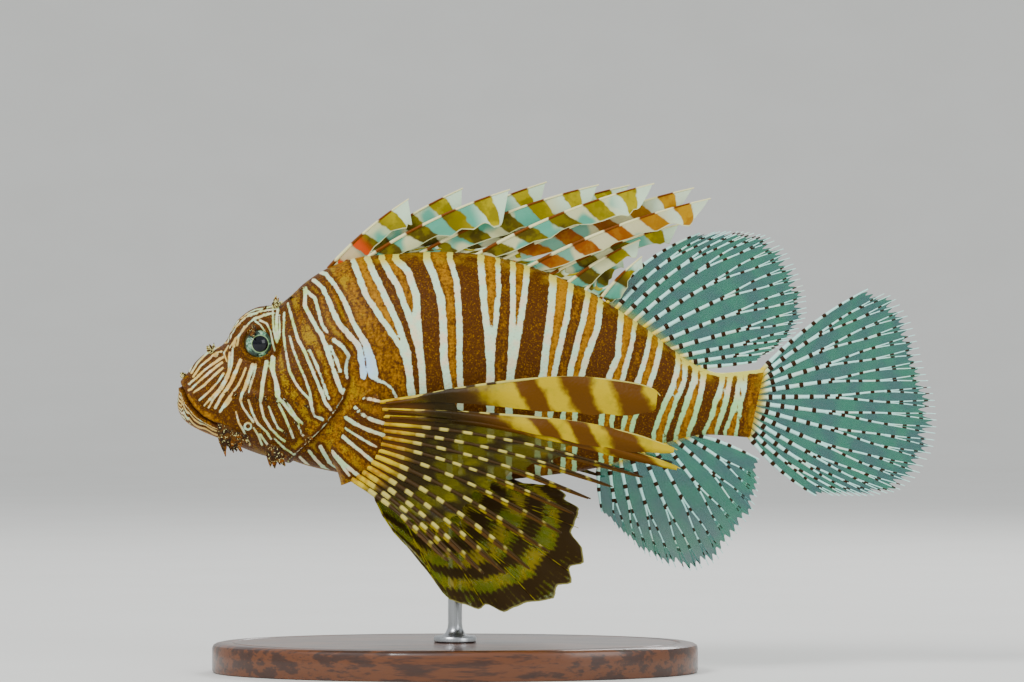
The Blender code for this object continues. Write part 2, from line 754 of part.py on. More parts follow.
def make_soft_dorsal(finish, parent):
    margin = path_through(SOFT_DORSAL_MARGIN)
    stations = np.linspace(*SOFT_DORSAL_BASE, SOFT_DORSAL_RAYS)
    roots = [(x, back(x) + ROOT_GAP) for x in stations]
    fin = middle_fin(roots, margin, (0.075, -0.01), 0.7, 0.8)
    node("dorsal_fin_soft", fin, finish, parent)


def make_anal_fin(finish, parent):
    margin = path_through(ANAL_MARGIN)
    stations = np.linspace(*ANAL_BASE, ANAL_RAYS)
    roots = [(x, belly(x) - ROOT_GAP) for x in stations]
    fin = middle_fin(roots, margin, (-0.03, 0.03), 0.7, 0.8)
    node("anal_fin", fin, finish, parent)


def make_tail_fin(finish, parent):
    margin = path_through(TAIL_MARGIN)
    heights = np.linspace(*TAIL_ROOTS, TAIL_RAYS)
    roots = [(tail_base_edge(z, GAP), z) for z in heights]
    fin = middle_fin(roots, margin, (0.045, -0.055), 0.6, 0.9)
    node("tail_fin", fin, finish, parent)


def in_lane(line, lane):
    """Leans a spine of the back out of the middle plane, more the higher it stands."""

    def leaned(v):
        point = line(v)
        height = max(point.z - back(point.x), 0.0)
        point.y = lane * LANE_REACH * math.tanh(height / LANE_REACH)
        return point

    return leaned


def flag_widths(flag):
    """A spine whose flag of membrane widens behind it and is cut off at its tip."""
    spread = curve_through(
        ((0.0, 0.5), (0.22, 0.7), (0.42, 0.35 * flag), (0.65, 0.7 * flag), (0.94, flag), (1.0, 0.6))
    )
    return lambda ray, v: (SPINE_WIDTH * (1.0 - 0.6 * v), spread(v))


def make_spiny_dorsal(finish, parent):
    spines = []
    for root_x, (tip_x, tip_z) in zip(SPINE_ROOTS, SPINE_TIPS):
        spines.append(
            bowed((root_x, 0.0, back(root_x) + ROOT_GAP), (tip_x, 0.0, tip_z), SPINE_BOW)
        )
    lengths = [(spine(1.0) - spine(0.0)).length for spine in spines]
    stubs = [
        bowed(spine(0.0), spine(WEB_HEIGHT / length), 0.0) for spine, length in zip(spines, lengths)
    ]
    rows = (0.0, 0.5, 0.85, 1.0)
    web = rayed_fin(
        stubs, both_ways(tapered(1.0, 0.6)), tapered(0.95, 0.6), [2] * (len(stubs) - 1), rows, 0.4
    )
    vanes = []
    for spine, length, lane, flag in zip(spines, lengths, SPINE_LANES, SPINE_FLAGS):
        above = sunk_start(in_lane(spine, lane), SPINE_SINK / length)
        vanes.append(
            rayed_fin(
                [above], flag_widths(flag), tapered(0.8, 0.4), [], SPINE_ROWS, after=FLAG_SIDE
            )
        )
    node("dorsal_fin_spines", combine(web, vanes, "UNION"), finish, parent)


def sunk_start(line, share):
    """The same line from a little above its root, so that its end stays inside the web."""
    return lambda v: line(share + (1.0 - share) * v)


def blade_widths(ray, v):
    """The leaves that the upper rays of the pectoral fin carry beyond their web."""
    thin = 0.7 - 0.35 * v
    free = min(max((v - 0.16) / 0.84, 0.0), 1.0)
    swell = max(math.sin(math.pi * free**1.15), 0.0) ** 0.7
    above, below = PECTORAL_BLADES.get(ray, (0.3, 0.4))
    return thin + above * swell, thin + below * swell


def make_pectorals(finish, parent):
    rays = len(PECTORAL_TIPS)
    for side, name in ((LEFT, "pectoral_fin_left"), (RIGHT, "pectoral_fin_right")):
        dice = random.Random(11)
        lines = []
        for ray, (tip_x, tip_z) in enumerate(PECTORAL_TIPS):
            part = ray / (rays - 1)
            angle = PECTORAL_TOP + (PECTORAL_FOOT - PECTORAL_TOP) * part
            x = LOBE_CENTRE[0] + LOBE_RADIUS * math.cos(angle)
            z = LOBE_CENTRE[1] + LOBE_RADIUS * math.sin(angle)
            root = (x, side * lobe_side(x, z), z)
            if side == RIGHT:
                tip_x += dice.uniform(-4.0, 0.0)
                tip_z += dice.uniform(-2.5, 2.5)
            tip_y = side * (PECTORAL_SPREAD[0] + (PECTORAL_SPREAD[1] - PECTORAL_SPREAD[0]) * part)
            lines.append(bowed(root, (tip_x, tip_y, tip_z), 0.035 + PECTORAL_BOWS.get(ray, 0.0)))
        webs = [2, 3, 3] + [4] * (rays - 4)
        fin = rayed_fin(lines, blade_widths, tapered(0.85, 0.4), webs, PECTORAL_ROWS)
        node(name, fin, finish, parent)


def make_pelvics(finish, parent):
    rays = len(PELVIC_TIPS)
    for side, name in ((LEFT, "pelvic_fin_left"), (RIGHT, "pelvic_fin_right")):
        lines = []
        for ray, (tip_x, tip_z) in enumerate(PELVIC_TIPS):
            part = ray / (rays - 1)
            x = PELVIC_BASE[0] + (PELVIC_BASE[1] - PELVIC_BASE[0]) * part
            y = side * PELVIC_SIDE
            root = (x, y, skin_foot(x, y) - ROOT_GAP)
            swing = 3.0 * part if side == RIGHT else 0.0
            tip = (tip_x - swing, side * (PELVIC_SPREAD - 3.0 * part), tip_z)
            lines.append(bowed(root, tip, PELVIC_BOWS[ray]))
        webs = [len(FIN_ROWS) - 1] * (rays - 1)
        fin = rayed_fin(lines, both_ways(tapered(0.45, 0.5)), tapered(0.8, 0.4), webs, FIN_ROWS)
        node(name, fin, finish, parent)


def make_stand(wood, steel):
    bm = bmesh.new()
    bmesh.ops.create_cone(
        bm, cap_ends=True, segments=48, radius1=0.5, radius2=0.5, depth=BASE_THICKNESS
    )
    bmesh.ops.scale(bm, vec=(BASE_LENGTH, BASE_WIDTH, 1.0), verts=bm.verts)
    bmesh.ops.translate(bm, vec=(0.0, 0.0, 0.5 * BASE_THICKNESS), verts=bm.verts)
    rim = [edge for edge in bm.edges if all(vert.co.z > 1.0 for vert in edge.verts)]
    bmesh.ops.bevel(
        bm, geom=rim, offset=BASE_BEVEL, segments=2, profile=0.5, affect="EDGES", material=-1
    )
    node("stand_base", bm, wood)

    foot = BASE_THICKNESS + GAP
    head = AXIS_HEIGHT + belly(ROD_STATION) - GAP - 0.2
    profile = (
        (FLANGE_RADIUS, foot), (FLANGE_RADIUS, foot + FLANGE_THICKNESS),
        (ROD_RADIUS + 1.6, foot + FLANGE_THICKNESS + 0.8), (ROD_RADIUS, foot + 6.0),
        (ROD_RADIUS, head),
    )
    sides = 24

    def place(column, row):
        angle = 2.0 * math.pi * column / sides
        radius, height = profile[row]
        return (radius * math.cos(angle), radius * math.sin(angle), height)

    node("stand_rod", close_round(shaped_grid(sides, len(profile) - 1, place)), steel)


def main():
    for old in list(bpy.data.objects):
        bpy.data.objects.remove(old, do_unlink=True)
    skin = material("striped skin", (0.30, 0.16, 0.05), 0.45)
    eye = material("eye", (0.05, 0.07, 0.08), 0.1)
    soft_fin = material("clear fin", (0.45, 0.55, 0.48), 0.35)
    banded_fin = material("banded fin", (0.35, 0.26, 0.06), 0.4)
    dark_fin = material("dark fin", (0.09, 0.06, 0.03), 0.4)
    wood = material("stand wood", (0.10, 0.05, 0.03), 0.4)
    steel = material("stand steel", (0.55, 0.56, 0.57), 0.3, 1.0)

    fish = bpy.data.objects.new("fish_frame", None)
    bpy.context.scene.collection.objects.link(fish)
    fish.location = (-ROD_STATION * MM, 0.0, AXIS_HEIGHT * MM)

    make_head(skin, fish)
    make_eyes(eye, fish)
    make_trunk(skin, fish)
    make_stem(skin, fish)
    make_spiny_dorsal(banded_fin, fish)
    make_soft_dorsal(soft_fin, fish)
    make_anal_fin(soft_fin, fish)
    make_tail_fin(soft_fin, fish)
    make_pectorals(banded_fin, fish)
    make_pelvics(dark_fin, fish)
    make_stand(wood, steel)


main()
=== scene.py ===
"""The red lionfish as it looks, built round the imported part: skin, eyes, fins and stand."""

import math
import random

import bmesh
import bpy
import numpy as np
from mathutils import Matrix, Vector, noise


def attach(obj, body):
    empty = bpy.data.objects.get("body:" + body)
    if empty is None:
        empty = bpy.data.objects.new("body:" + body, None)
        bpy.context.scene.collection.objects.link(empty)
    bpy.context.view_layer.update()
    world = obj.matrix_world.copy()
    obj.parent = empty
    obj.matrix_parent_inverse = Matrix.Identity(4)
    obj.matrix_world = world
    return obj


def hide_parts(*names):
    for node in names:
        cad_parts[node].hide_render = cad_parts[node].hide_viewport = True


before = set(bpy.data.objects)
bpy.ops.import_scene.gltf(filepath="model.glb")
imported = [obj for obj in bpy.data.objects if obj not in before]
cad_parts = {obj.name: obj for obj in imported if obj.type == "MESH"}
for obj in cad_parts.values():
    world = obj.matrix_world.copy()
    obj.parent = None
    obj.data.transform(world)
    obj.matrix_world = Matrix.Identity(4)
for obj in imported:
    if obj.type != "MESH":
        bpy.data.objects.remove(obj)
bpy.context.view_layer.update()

MM = 0.001
LEFT = -1
RIGHT = 1
SIDES = ((LEFT, "left"), (RIGHT, "right"))
ROD_STATION = 116.8
AXIS_HEIGHT = 114.2
ROOT = "root"

# The body in its own frame, in millimetres, with the sizes of the solids.
BACK = (
    (0.0, -0.6), (0.4, 2.2), (1.2, 5.4), (2.6, 8.6), (5.0, 12.6), (8.4, 16.8), (12.2, 20.0),
    (15.5, 22.0), (18.5, 22.9), (21.0, 25.6), (23.9, 31.1), (27.3, 35.3), (31.1, 38.0),
    (35.3, 39.5), (42.5, 40.1), (46.2, 42.6), (54.2, 49.8), (64.3, 56.0), (79.0, 60.5),
    (110.5, 62.4), (127.3, 61.3), (144.1, 57.5), (169.3, 47.5), (194.5, 31.9), (219.7, 14.0),
    (228.0, 11.6), (250.0, 13.6),
)
BELLY = (
    (0.0, -1.8), (0.8, -5.0), (2.9, -8.4), (7.6, -11.8), (20.2, -17.2), (37.0, -23.6),
    (64.3, -30.0), (90.0, -33.8), (118.9, -34.9), (152.5, -32.1), (177.7, -28.3),
    (205.0, -18.1), (221.8, -14.7), (250.0, -16.8),
)
HALF_WIDTH = (
    (0.0, 0.9), (0.8, 4.6), (2.5, 7.6), (5.0, 9.6), (8.4, 11.0), (14.0, 12.6), (20.0, 14.2),
    (27.0, 16.8), (34.0, 19.0), (44.0, 21.6), (56.0, 23.8), (74.0, 25.6), (92.0, 26.0),
    (112.0, 24.8), (135.0, 21.6), (160.0, 17.0), (190.0, 11.2), (221.0, 6.8), (246.0, 3.0),
)
WIDEST_HEIGHT = ((0.0, -1.0), (10.0, 1.0), (30.0, 4.0), (70.0, 8.0), (130.0, 10.0), (250.0, -1.0))
UPPER_DRAW = ((0.0, 1.0), (12.0, 1.0), (32.0, 0.88), (50.0, 1.15), (90.0, 1.1), (250.0, 1.0))
LOWER_DRAW = ((0.0, 0.9), (20.0, 1.0), (60.0, 1.15), (120.0, 1.05), (250.0, 1.0))
HEAD_FORMS = (
    (33.5, 32.0, 8.5, 4.0, 2.4),
    (34.0, 22.5, 8.0, 7.0, -1.3),
    (40.0, 9.0, 13.0, 7.0, 1.3),
    (36.0, 1.6, 18.0, 1.9, 1.5),
    (57.0, -2.0, 9.0, 2.6, 1.2),
    (63.0, 12.0, 9.0, 20.0, 1.4),
    (50.0, 38.0, 9.0, 8.0, -1.4),
    (16.0, 15.0, 6.0, 6.0, 1.2),
    (26.0, -12.0, 12.0, 6.0, 1.0),
    (24.0, 8.0, 5.0, 9.0, -0.8),
)
GILL_EDGE = (
    (62.6, 57.0), (68.5, 42.0), (72.0, 25.2), (73.5, 8.0), (71.5, 0.5), (65.5, -8.4),
    (60.0, -14.3), (54.2, -19.7), (48.3, -25.0), (44.0, -40.0),
)
MOUTH_LINE = ((0.0, 5.2), (2.4, 4.4), (5.5, -0.6), (8.4, -4.6), (11.8, -7.8), (18.0, -11.2))
MOUTH_RISE = 1.6
CHEEK_RIDGE = ((22.0, 3.4), (34.0, 2.4), (47.0, 0.6), (57.0, -3.4), (62.0, -8.0))
BROW_RIDGE = ((24.0, 27.0), (27.0, 32.5), (32.0, 35.6), (38.0, 36.4), (44.0, 34.0))
MOUTH_CORNER = 17.4
TAIL_BASE_TOP = (246.6, 13.4)
TAIL_BASE_FOOT = (240.4, -15.6)
SKIN_SIDES = 236
SKIN_INSET = 0.12

EYE_PLACE = (34.2, 11.4, 23.6)
EYE_RADIUS = 7.3
EYE_AXIS = (0.10, 0.975, 0.06)
EYE_LOOK = (0.25, 0.96, 0.0)
NOSTRILS = ((17.0, 18.8, 1.2), (24.6, 22.6, 0.8))

LOBE_CENTRE = (62.0, -10.0)
LOBE_RADIUS = 27.0
LOBE_TOP = math.radians(36.0)
LOBE_FOOT = math.radians(-76.0)
LOBE_SIDE = 22.5
LOBE_FLARE = 0.18
LOBE_LEAN = 0.40
LOBE_SINK = 7.0

# The fins: thicknesses of their films, and the sizes of the solids.
MEMBRANE = 0.16
FLAG_THICKNESS = 0.18
LEAF_THICKNESS = 0.2
BACK_WEB_THICKNESS = 0.3
SOFT_DORSAL_RAYS = 11
SOFT_DORSAL_BASE = (180.4, 219.0)
SOFT_DORSAL_MARGIN = (
    (219.7, 70.1), (233.0, 71.0), (247.4, 69.3), (259.6, 56.3), (265.0, 38.0), (259.4, 27.4),
    (243.4, 16.2),
)
ANAL_RAYS = 10
ANAL_BASE = (177.0, 218.0)
ANAL_MARGIN = (
    (178.5, -47.0), (188.2, -56.7), (201.6, -68.0), (219.9, -72.2), (233.5, -58.4), (244.3, -39.9),
    (244.4, -25.0),
)
TAIL_RAYS = 13
TAIL_ROOTS = (12.4, -14.6)
TAIL_MARGIN = (
    (290.2, 46.6), (300.7, 43.7), (308.7, 31.5), (313.7, 13.0), (319.2, -5.5), (318.4, -16.8),
    (303.2, -38.2), (291.1, -40.3), (268.4, -40.1),
)
SPINE_ROOTS = (
    63.5, 70.6, 80.2, 90.3, 102.1, 113.8, 125.6, 136.9, 147.4, 156.7, 164.2, 171.4, 177.7,
)
SPINE_TIPS = (
    (97.4, 84.4), (120.1, 89.0), (139.9, 88.2), (155.4, 91.8), (177.2, 90.3), (190.3, 90.3),
    (200.3, 90.7), (217.1, 89.0), (223.9, 84.4), (211.3, 73.9), (194.5, 67.2), (187.2, 61.3),
    (195.2, 60.2),
)
SPINE_LANES = (
    -0.12, 0.12, -0.36, 0.36, -0.12, 0.12, -0.36, -0.12, -0.36, 0.12, -0.12, 0.36, -0.3,
)
SPINE_FLAGS = (11.0, 13.0, 13.0, 13.0, 13.0, 12.0, 11.0, 10.0, 9.0, 7.5, 6.0, 5.0, 4.0)
SPINE_BOW = 0.035
LANE_REACH = 20.0
WEB_HEIGHT = 9.0
PECTORAL_TOP = math.radians(20.0)
PECTORAL_FOOT = math.radians(-62.0)
PECTORAL_SPREAD = (50.0, 37.0)
PECTORAL_TIPS = (
    (201.2, 0.8), (208.3, -20.2), (209.6, -27.7), (194.5, -31.1), (182.0, -35.0), (173.0, -40.0),
    (166.0, -46.0), (161.0, -54.0), (156.0, -62.0), (148.0, -69.0), (138.0, -71.0),
    (129.0, -71.0), (122.0, -69.5), (114.5, -66.0),
)
PECTORAL_BOWS = {1: -0.01, 2: 0.005}
PELVIC_BASE = (81.0, 90.5)
PELVIC_SIDE = 7.5
PELVIC_SPREAD = 17.0
PELVIC_BOWS = (-0.09, 0.03, 0.03, 0.03, 0.03, 0.02, 0.0)
PELVIC_TIPS = (
    (98.0, -61.5), (116.5, -87.0), (138.0, -89.0), (161.0, -85.0), (171.6, -68.0), (172.5, -48.0),
    (164.0, -36.8),
)

# Markings. Each line of the head has a half width at its two ends and the places it runs through.
HEAD_LINES = (
    (0.8, 1, ((60.1, 54), (62.6, 52.9), (66.8, 48.3), (71, 41.6), (74.3, 33.6), (77.3, 28.1))),
    (1, 2.4, ((77.3, 28.1), (79.8, 23.9), (81.7, 18.5), (83.4, 11.3))),
    (0.8, 1.3, ((57.5, 50.4), (61.7, 47), (64.3, 41.6), (66.8, 35.7), (69.5, 31.1), (73.5, 26.9),
     (77.3, 22.7), (78.5, 15.5), (79, 10.1))),
    (0.7, 0.6, ((53.3, 47), (58.4, 42.8), (60.1, 37.4), (61.7, 31.5), (64.3, 28.1))),
    (0.8, 0.9, ((54.2, 47), (54.2, 39.5), (57.5, 33.6), (61.7, 26.9), (63.8, 21.4), (65.9, 15.5),
     (68, 9.2), (70.1, 3.8))),
    (0.8, 0.6, ((66.8, 25.4), (71, 21.8), (73.1, 18.5), (71.8, 14.3), (72.2, 9.2))),
    (0.6, 0.6, ((65.3, 22.7), (67.4, 18.5), (69.5, 12.2))),
    (0.6, 0.6, ((41.2, 18.5), (40.3, 14.3), (42.4, 8), (43, 1.7), (45.8, -1.1), (48.7, -5.2),
     (52.1, -8.8))),
    (0.4, 0.4, ((51.7, -10.1), (53.3, -14.3), (56.7, -16.8))),
    (0.45, 0.4, ((35.7, -14.3), (39.1, -19.3), (43.3, -23.5))),
    (0.4, 0.4, ((41.6, -16), (45.8, -20.2), (50, -22.7))),
    (0.8, 0.7, ((60.9, -19.7), (64.3, -26), (70.1, -30.7))),
    (0.7, 0.7, ((55.9, -21.8), (60.9, -27.7), (67.6, -32.8))),
    (0.6, 0.6, ((51.7, -24.4), (56.7, -29.4), (62.6, -33.6))),
    (0.5, 0.42, ((14.2, 23.5), (10.4, 20.3), (7.2, 16.5), (5.4, 12.3))),
    (0.5, 0.42, ((17.6, 22.7), (12.4, 19.5), (8.8, 15.6), (6.4, 11.5))),
    (0.5, 0.42, ((18.9, 20.5), (14.5, 17.8), (10.4, 14.4), (7.3, 10))),
    (0.5, 0.42, ((19.9, 18.1), (16.3, 15.8), (12.2, 12.8), (8.6, 9.3), (5.6, 7))),
    (0.5, 0.42, ((19.6, 15.9), (14.5, 11.9), (9.9, 7.9), (5.8, 4.3))),
    (0.5, 0.42, ((19.9, 13.6), (16.3, 10.4), (12.4, 6.6), (7.6, 3.3))),
    (0.4, 0.4, ((20.4, 11.3), (17.6, 7.2), (13.7, 3.2), (10.1, 0))),
    (0.45, 0.4, ((22.6, 20), (22.5, 12.3), (20.8, 8.4), (18.2, 4.3), (14.6, 0.5), (12.2, -2.2))),
    (0.4, 0.4, ((25.2, 25.8), (24, 20.7), (23.8, 14.9), (22.2, 9.7), (19.9, 5.2), (16.2, 0.7),
     (14, -3.1))),
    (0.75, 0.6, ((27.5, 16.8), (25.3, 11.7), (23.5, 7.4), (21.7, 4.8), (19.6, 1.9), (16.8, -3.1))),
    (0.45, 0.5, ((29.7, 13.6), (28.5, 10.2), (26.6, 6.4), (24, 3), (20.9, -1.3), (18.9, -4.8))),
    (0.85, 0.6, ((32.8, 14.9), (31.1, 9.7), (29.7, 5.7), (28.4, 3), (27.7, 0.5))),
    (0.85, 0.7, ((38.7, 16.2), (37.8, 11.5), (36.9, 6.5), (36.6, 2), (36.1, 0))),
    (0.75, 0.8, ((41.4, 18.1), (41.4, 12.3), (42.8, 7.2), (43.8, 3.3), (43.2, 0.2))),
    (0.4, 0.4, ((27.4, 0.7), (28.4, -2.5), (31, -6.3), (33, -9))),
    (0.45, 0.45, ((31, 0.1), (32.6, -5.1), (34.8, -9.6), (38.7, -13.5), (40.2, -16.2))),
    (0.5, 0.5, ((36.1, -1.6), (37.4, -7), (40, -11.5), (43.8, -15.5), (45.9, -17))),
    (0.4, 0.4, ((39.6, -2.5), (41.4, -7.6), (43.3, -11.5), (46.5, -13.7))),
    (0.5, 0.45, ((43.8, -1.6), (46.4, -7), (48.3, -12.1), (49.7, -15.7))),
    (0.4, 0.4, ((25.6, -4.7), (26.8, -9.3), (29, -13.5), (31, -18.8))),
    (0.4, 0.4, ((33, -11.5), (34.9, -14.7), (36.2, -18.8))),
    (0.8, 0.5, ((23.2, 0.6), (22, -1.3), (19.9, -3.1))),
    (0.45, 0.5, ((46.1, 0.5), (48.7, -3.1), (51, -7), (53.5, -9.6))),
    (0.35, 0.35, ((42.7, 38.7), (36.1, 36.9), (31.1, 35.4), (27.7, 32.7), (25.2, 29.7),
     (23, 25.7))),
    (0.35, 0.35, ((41.4, 36.3), (36.7, 35.2), (33, 34), (30.4, 31.8), (27.9, 28.6), (24.9, 25.2),
     (22.6, 21.9))),
    (0.3, 0.3, ((38.2, 38.7), (33.5, 38), (29.7, 36.2), (27.1, 33.5), (24.3, 30.7), (22.5, 27.6),
     (21.6, 24.4))),
    (0.35, 0.35, ((35.6, 33.4), (38.4, 32.2), (40, 29), (41, 24.4), (42.1, 21))),
    (0.3, 0.35, ((33.5, 33.1), (35.8, 31.5), (37.5, 29), (38.4, 26.7))),
    (0.35, 0.35, ((40.7, 37.4), (41, 32.9), (41.5, 29), (42.5, 25.2))),
    (0.3, 0.3, ((31, 38.7), (27.1, 35.7), (23.9, 32.2), (22.2, 29))),
    (0.3, 0.3, ((40.2, 39.4), (36.4, 38.6), (34.4, 36), (31.6, 34.9))),
    (0.3, 0.3, ((43.6, 35.6), (43.9, 30.4), (43.7, 26))),
    (0.35, 0.3, ((29, 30.8), (26.4, 26.6), (25.9, 22.8))),
    (0.3, 0.3, ((20.9, 24.2), (17, 24.2), (12.6, 21.7))),
    (0.3, 0.3, ((22, 22.8), (20.2, 19.9), (21.6, 16.3))),
    (0.4, 0.35, ((34.2, 15.2), (33.3, 10.4), (31.9, 6.6), (31.2, 3.4))),
    (0.55, 0.55, ((42.7, 38), (42.4, 33.5), (42.7, 28.4), (43, 24.5))),
    (0.4, 0.55, ((45.5, 36.7), (45.6, 32.9), (45.5, 28.4), (46.4, 21.3), (48.3, 12.3), (50.9, 7.2),
     (53.5, 3.8), (56.7, 0.5), (58.5, -6.3), (62.1, -7.8))),
    (0.5, 0.5, ((48.1, 27.1), (49.7, 21.3), (52.3, 14.9), (54.7, 9.7), (56.8, 3.3), (57.7, -1.2))),
    (0.5, 0.7, ((46.8, 40.6), (48.3, 36.1), (49.7, 31.6), (51.5, 25.8), (54.7, 20), (58, 12.3),
     (60.7, 5.9), (63.2, -0.7), (65.7, -3.9))),
    (0.55, 0.5, ((56.5, 21.3), (59.9, 14.2), (62.5, 7.2), (64.8, 0.6))),
)

LOBE_LINES = (
    (0.8, 0.7, ((73.7, 1.1), (74.3, -1.7), (77.7, -5.2), (82.7, -8), (88.6, -9.7))),
    (0.7, 0.6, ((73.7, 1.7), (77.7, 2.1), (83.6, 0.4), (90.3, -1.1))),
    (0.8, 0.7, ((70.6, -6.7), (75.6, -9.7), (81.1, -12.2), (87.4, -14.3), (93.7, -16.8))),
    (0.5, 0.5, ((68.9, -10.1), (73.5, -13), (78.5, -16), (84.4, -19.3))),
    (0.8, 0.7, ((67.2, -12.6), (71.4, -16), (75.6, -19.3), (79.8, -22.7), (83.6, -26))),
    (0.7, 0.7, ((63.8, -19.3), (67.6, -23.5), (72.2, -27.7), (76.9, -31.5))),
    (0.6, 0.6, ((60.9, -16.8), (64.7, -21), (68.9, -26), (72.7, -31.1))),
)

BODY_STRIPES = (
    ((73.9, 59.2), (80.2, 43.3), (87.8, 32.3), (95.3, 21.4), (97.9, 11.8), (98.7, 2.5)),
    ((80.2, 59.2), (86.9, 45.4), (93.2, 32.3), (97.4, 20.2), (98.3, 11.8), (99.1, 2.5)),
    ((86.1, 59.2), (93.2, 47.5), (97.4, 36.5), (100.8, 26), (102.9, 17.2), (103.7, 2.5)),
    ((92, 59.2), (97.4, 53.8), (100.8, 43.7), (101.4, 33.6), (102.9, 17.2), (104, 2.5)),
    ((105, 59.2), (107.5, 53.8), (110.9, 43.7), (112.1, 32.3), (112.6, 16.4), (114.7, 3.4)),
    ((114.7, 59.2), (117.6, 50.4), (118.9, 32.3), (118.9, 16.4), (119.3, 3.4)),
    ((127.7, 58), (128.9, 42), (130.6, 27.3), (131.5, 16.4), (131.5, 4.2)),
    ((134.8, 57.1), (135.2, 46.2), (134, 33.6), (132.7, 23.1), (132.3, 14.7), (132.3, 4.2)),
    ((141.1, 55), (141.1, 37.8), (140.3, 23.1), (139.9, 14.7), (139, 4.2)),
    ((147, 55), (145.7, 42), (144.1, 31.5), (142.4, 21.4), (140.7, 12.6), (139.7, 4.2)),
    ((157.9, 49.6), (157.1, 37.8), (155.4, 25.2), (153.7, 10.9), (151.5, -6)),
    ((165.5, 48.3), (163.4, 33.6), (160.9, 23.1), (158.3, 10.9), (156.7, -6.5)),
    ((172.6, 44.5), (170.5, 33.6), (167.6, 23.1), (165.1, 12.2), (162, -6.3)),
    ((178.1, 42.8), (176.4, 30.2), (172.6, 20.2), (170.1, 12.2), (166.8, -6.5)),
    ((186.5, 35.7), (185.6, 27.3), (184.9, 18.3), (181.6, 10.9), (178, -7.8)),
    ((192.6, 33.6), (190.7, 23.1), (187.3, 10.2), (182.3, -8.4)),
    ((199.1, 29), (197, 19.2), (193.6, 8.8), (188.2, -6.1), (186.6, -14)),
    ((203.3, 24.8), (201.4, 16), (198.4, 6.7), (191.4, -9), (190, -16)),
    ((210.6, 18.5), (209.5, 11.4), (207.6, 5), (205.7, 0.9), (202.7, -6.2), (200.1, -13.7)),
    ((213.6, 16), (212.8, 8.4), (211, 3.2), (209.4, 0), (207.4, -6.2), (204.6, -14.9)),
    ((217.6, 13), (216.6, 6.9), (214.3, 0.9), (213.2, -2.5), (211.3, -8.1), (209.5, -14.5)),
    ((221.4, 12.4), (220.3, 6.2), (219.2, 0.2), (217.7, -5.1), (216.6, -8.9), (214.7, -13.7)),
    ((229.6, 11.8), (227.5, 3.2), (225.4, -1.7), (224.5, -6.6), (223, -9.6), (221.3, -13.4)),
    ((232.6, 11.8), (230.8, 1.7), (229.3, -4.4), (227.8, -8.5), (226.3, -13.4)),
    ((236.6, 11.8), (235.3, 3.2), (233.8, -2.9), (232, -8.1), (230.1, -13)),
    ((239.2, 11.8), (237.6, 3.2), (236.5, -2.1), (235.7, -8.1), (234.6, -14.9)),
)
STRIPE_HALF_WIDTHS = (
    1.15, 1.3, 1.25, 1.45, 1.5, 1.2, 1.4, 1.0, 1.1, 1.25, 1.5, 1.15, 1.2, 1.25, 1.2, 1.0, 1.05,
    1.1, 1.15, 0.95, 1.15, 1.1, 1.05, 1.05, 1.0, 0.85,
)

# What lies between one body stripe and the next, from pale ochre at 0 to dark brown at 1.
BETWEEN_STRIPES = (
    0.6, 0.25, 0.8, 0.3, 0.95, 0.4, 1.0, 0.3, 0.75, 0.3, 1.0, 0.2, 0.7, 0.2, 1.0, 0.2, 0.8, 0.2,
    1.0, 0.2, 0.9, 0.2, 1.0, 0.25, 0.9, 0.2, 0.7,
)


def curve_through(points):
    """A smooth function through (x, value) points that doesn't overshoot between them."""
    stations, values = np.array(points, dtype=float).T
    steps = np.diff(stations)
    slopes = np.diff(values) / steps
    tangents = np.empty_like(values)
    tangents[0], tangents[-1] = slopes[0], slopes[-1]
    before, after = slopes[:-1], slopes[1:]
    same = before * after > 0.0
    total = np.where(same, before + after, 1.0)
    tangents[1:-1] = np.where(same, 2.0 * before * after / total, 0.0)

    def value(x):
        x = np.asarray(x, dtype=float)
        i = np.clip(np.searchsorted(stations, x) - 1, 0, len(steps) - 1)
        t = np.clip((x - stations[i]) / steps[i], 0.0, 1.0)
        ease = (3.0 - 2.0 * t) * t * t
        return (
            values[i] * (1.0 - ease)
            + values[i + 1] * ease
            + tangents[i] * steps[i] * t * (1.0 - t) ** 2
            - tangents[i + 1] * steps[i] * t * t * (1.0 - t)
        )

    return value


def path_through(points):
    """A smooth path through points, as a function of a fraction of its length."""
    points = np.array(points, dtype=float)
    lengths = np.concatenate(([0.0], np.cumsum(np.linalg.norm(np.diff(points, axis=0), axis=1))))
    axes = [curve_through(list(zip(lengths / lengths[-1], axis))) for axis in points.T]
    return lambda t: tuple(float(axis(t)) for axis in axes)


def smooth_rise(x, low, high):
    """0 below low, 1 above high, and a smooth rise between them."""
    t = np.clip((x - low) / (high - low), 0.0, 1.0)
    return t * t * (3.0 - 2.0 * t)


def rise(x, low, high):
    """As smooth_rise, for one number."""
    return float(smooth_rise(x, low, high))


def hump(distance, reach):
    """1 at no distance, and a smooth fall to either side."""
    return np.exp(-((distance / reach) ** 2))


back = curve_through(BACK)
belly = curve_through(BELLY)
half_width = curve_through(HALF_WIDTH)
widest_height = curve_through(WIDEST_HEIGHT)
upper_draw = curve_through(UPPER_DRAW)
lower_draw = curve_through(LOWER_DRAW)
mouth_line = curve_through(MOUTH_LINE)


def swelling(x, z):
    """How far the forms of the head push its sides out."""
    return sum(
        height * np.exp(-(((x - fx) / reach_x) ** 2) - ((z - fz) / reach_z) ** 2)
        for fx, fz, reach_x, reach_z, height in HEAD_FORMS
    )


def gill_edge_station(z):
    """Where the rear edge of the gill cover is at a height."""
    stations, heights = np.array(GILL_EDGE).T
    return np.interp(-z, -heights, stations)


def head_share(x, z):
    """1 on the head, fading to 0 at the edge of the gill cover."""
    return smooth_rise(gill_edge_station(z) - x, -0.2, 0.6)


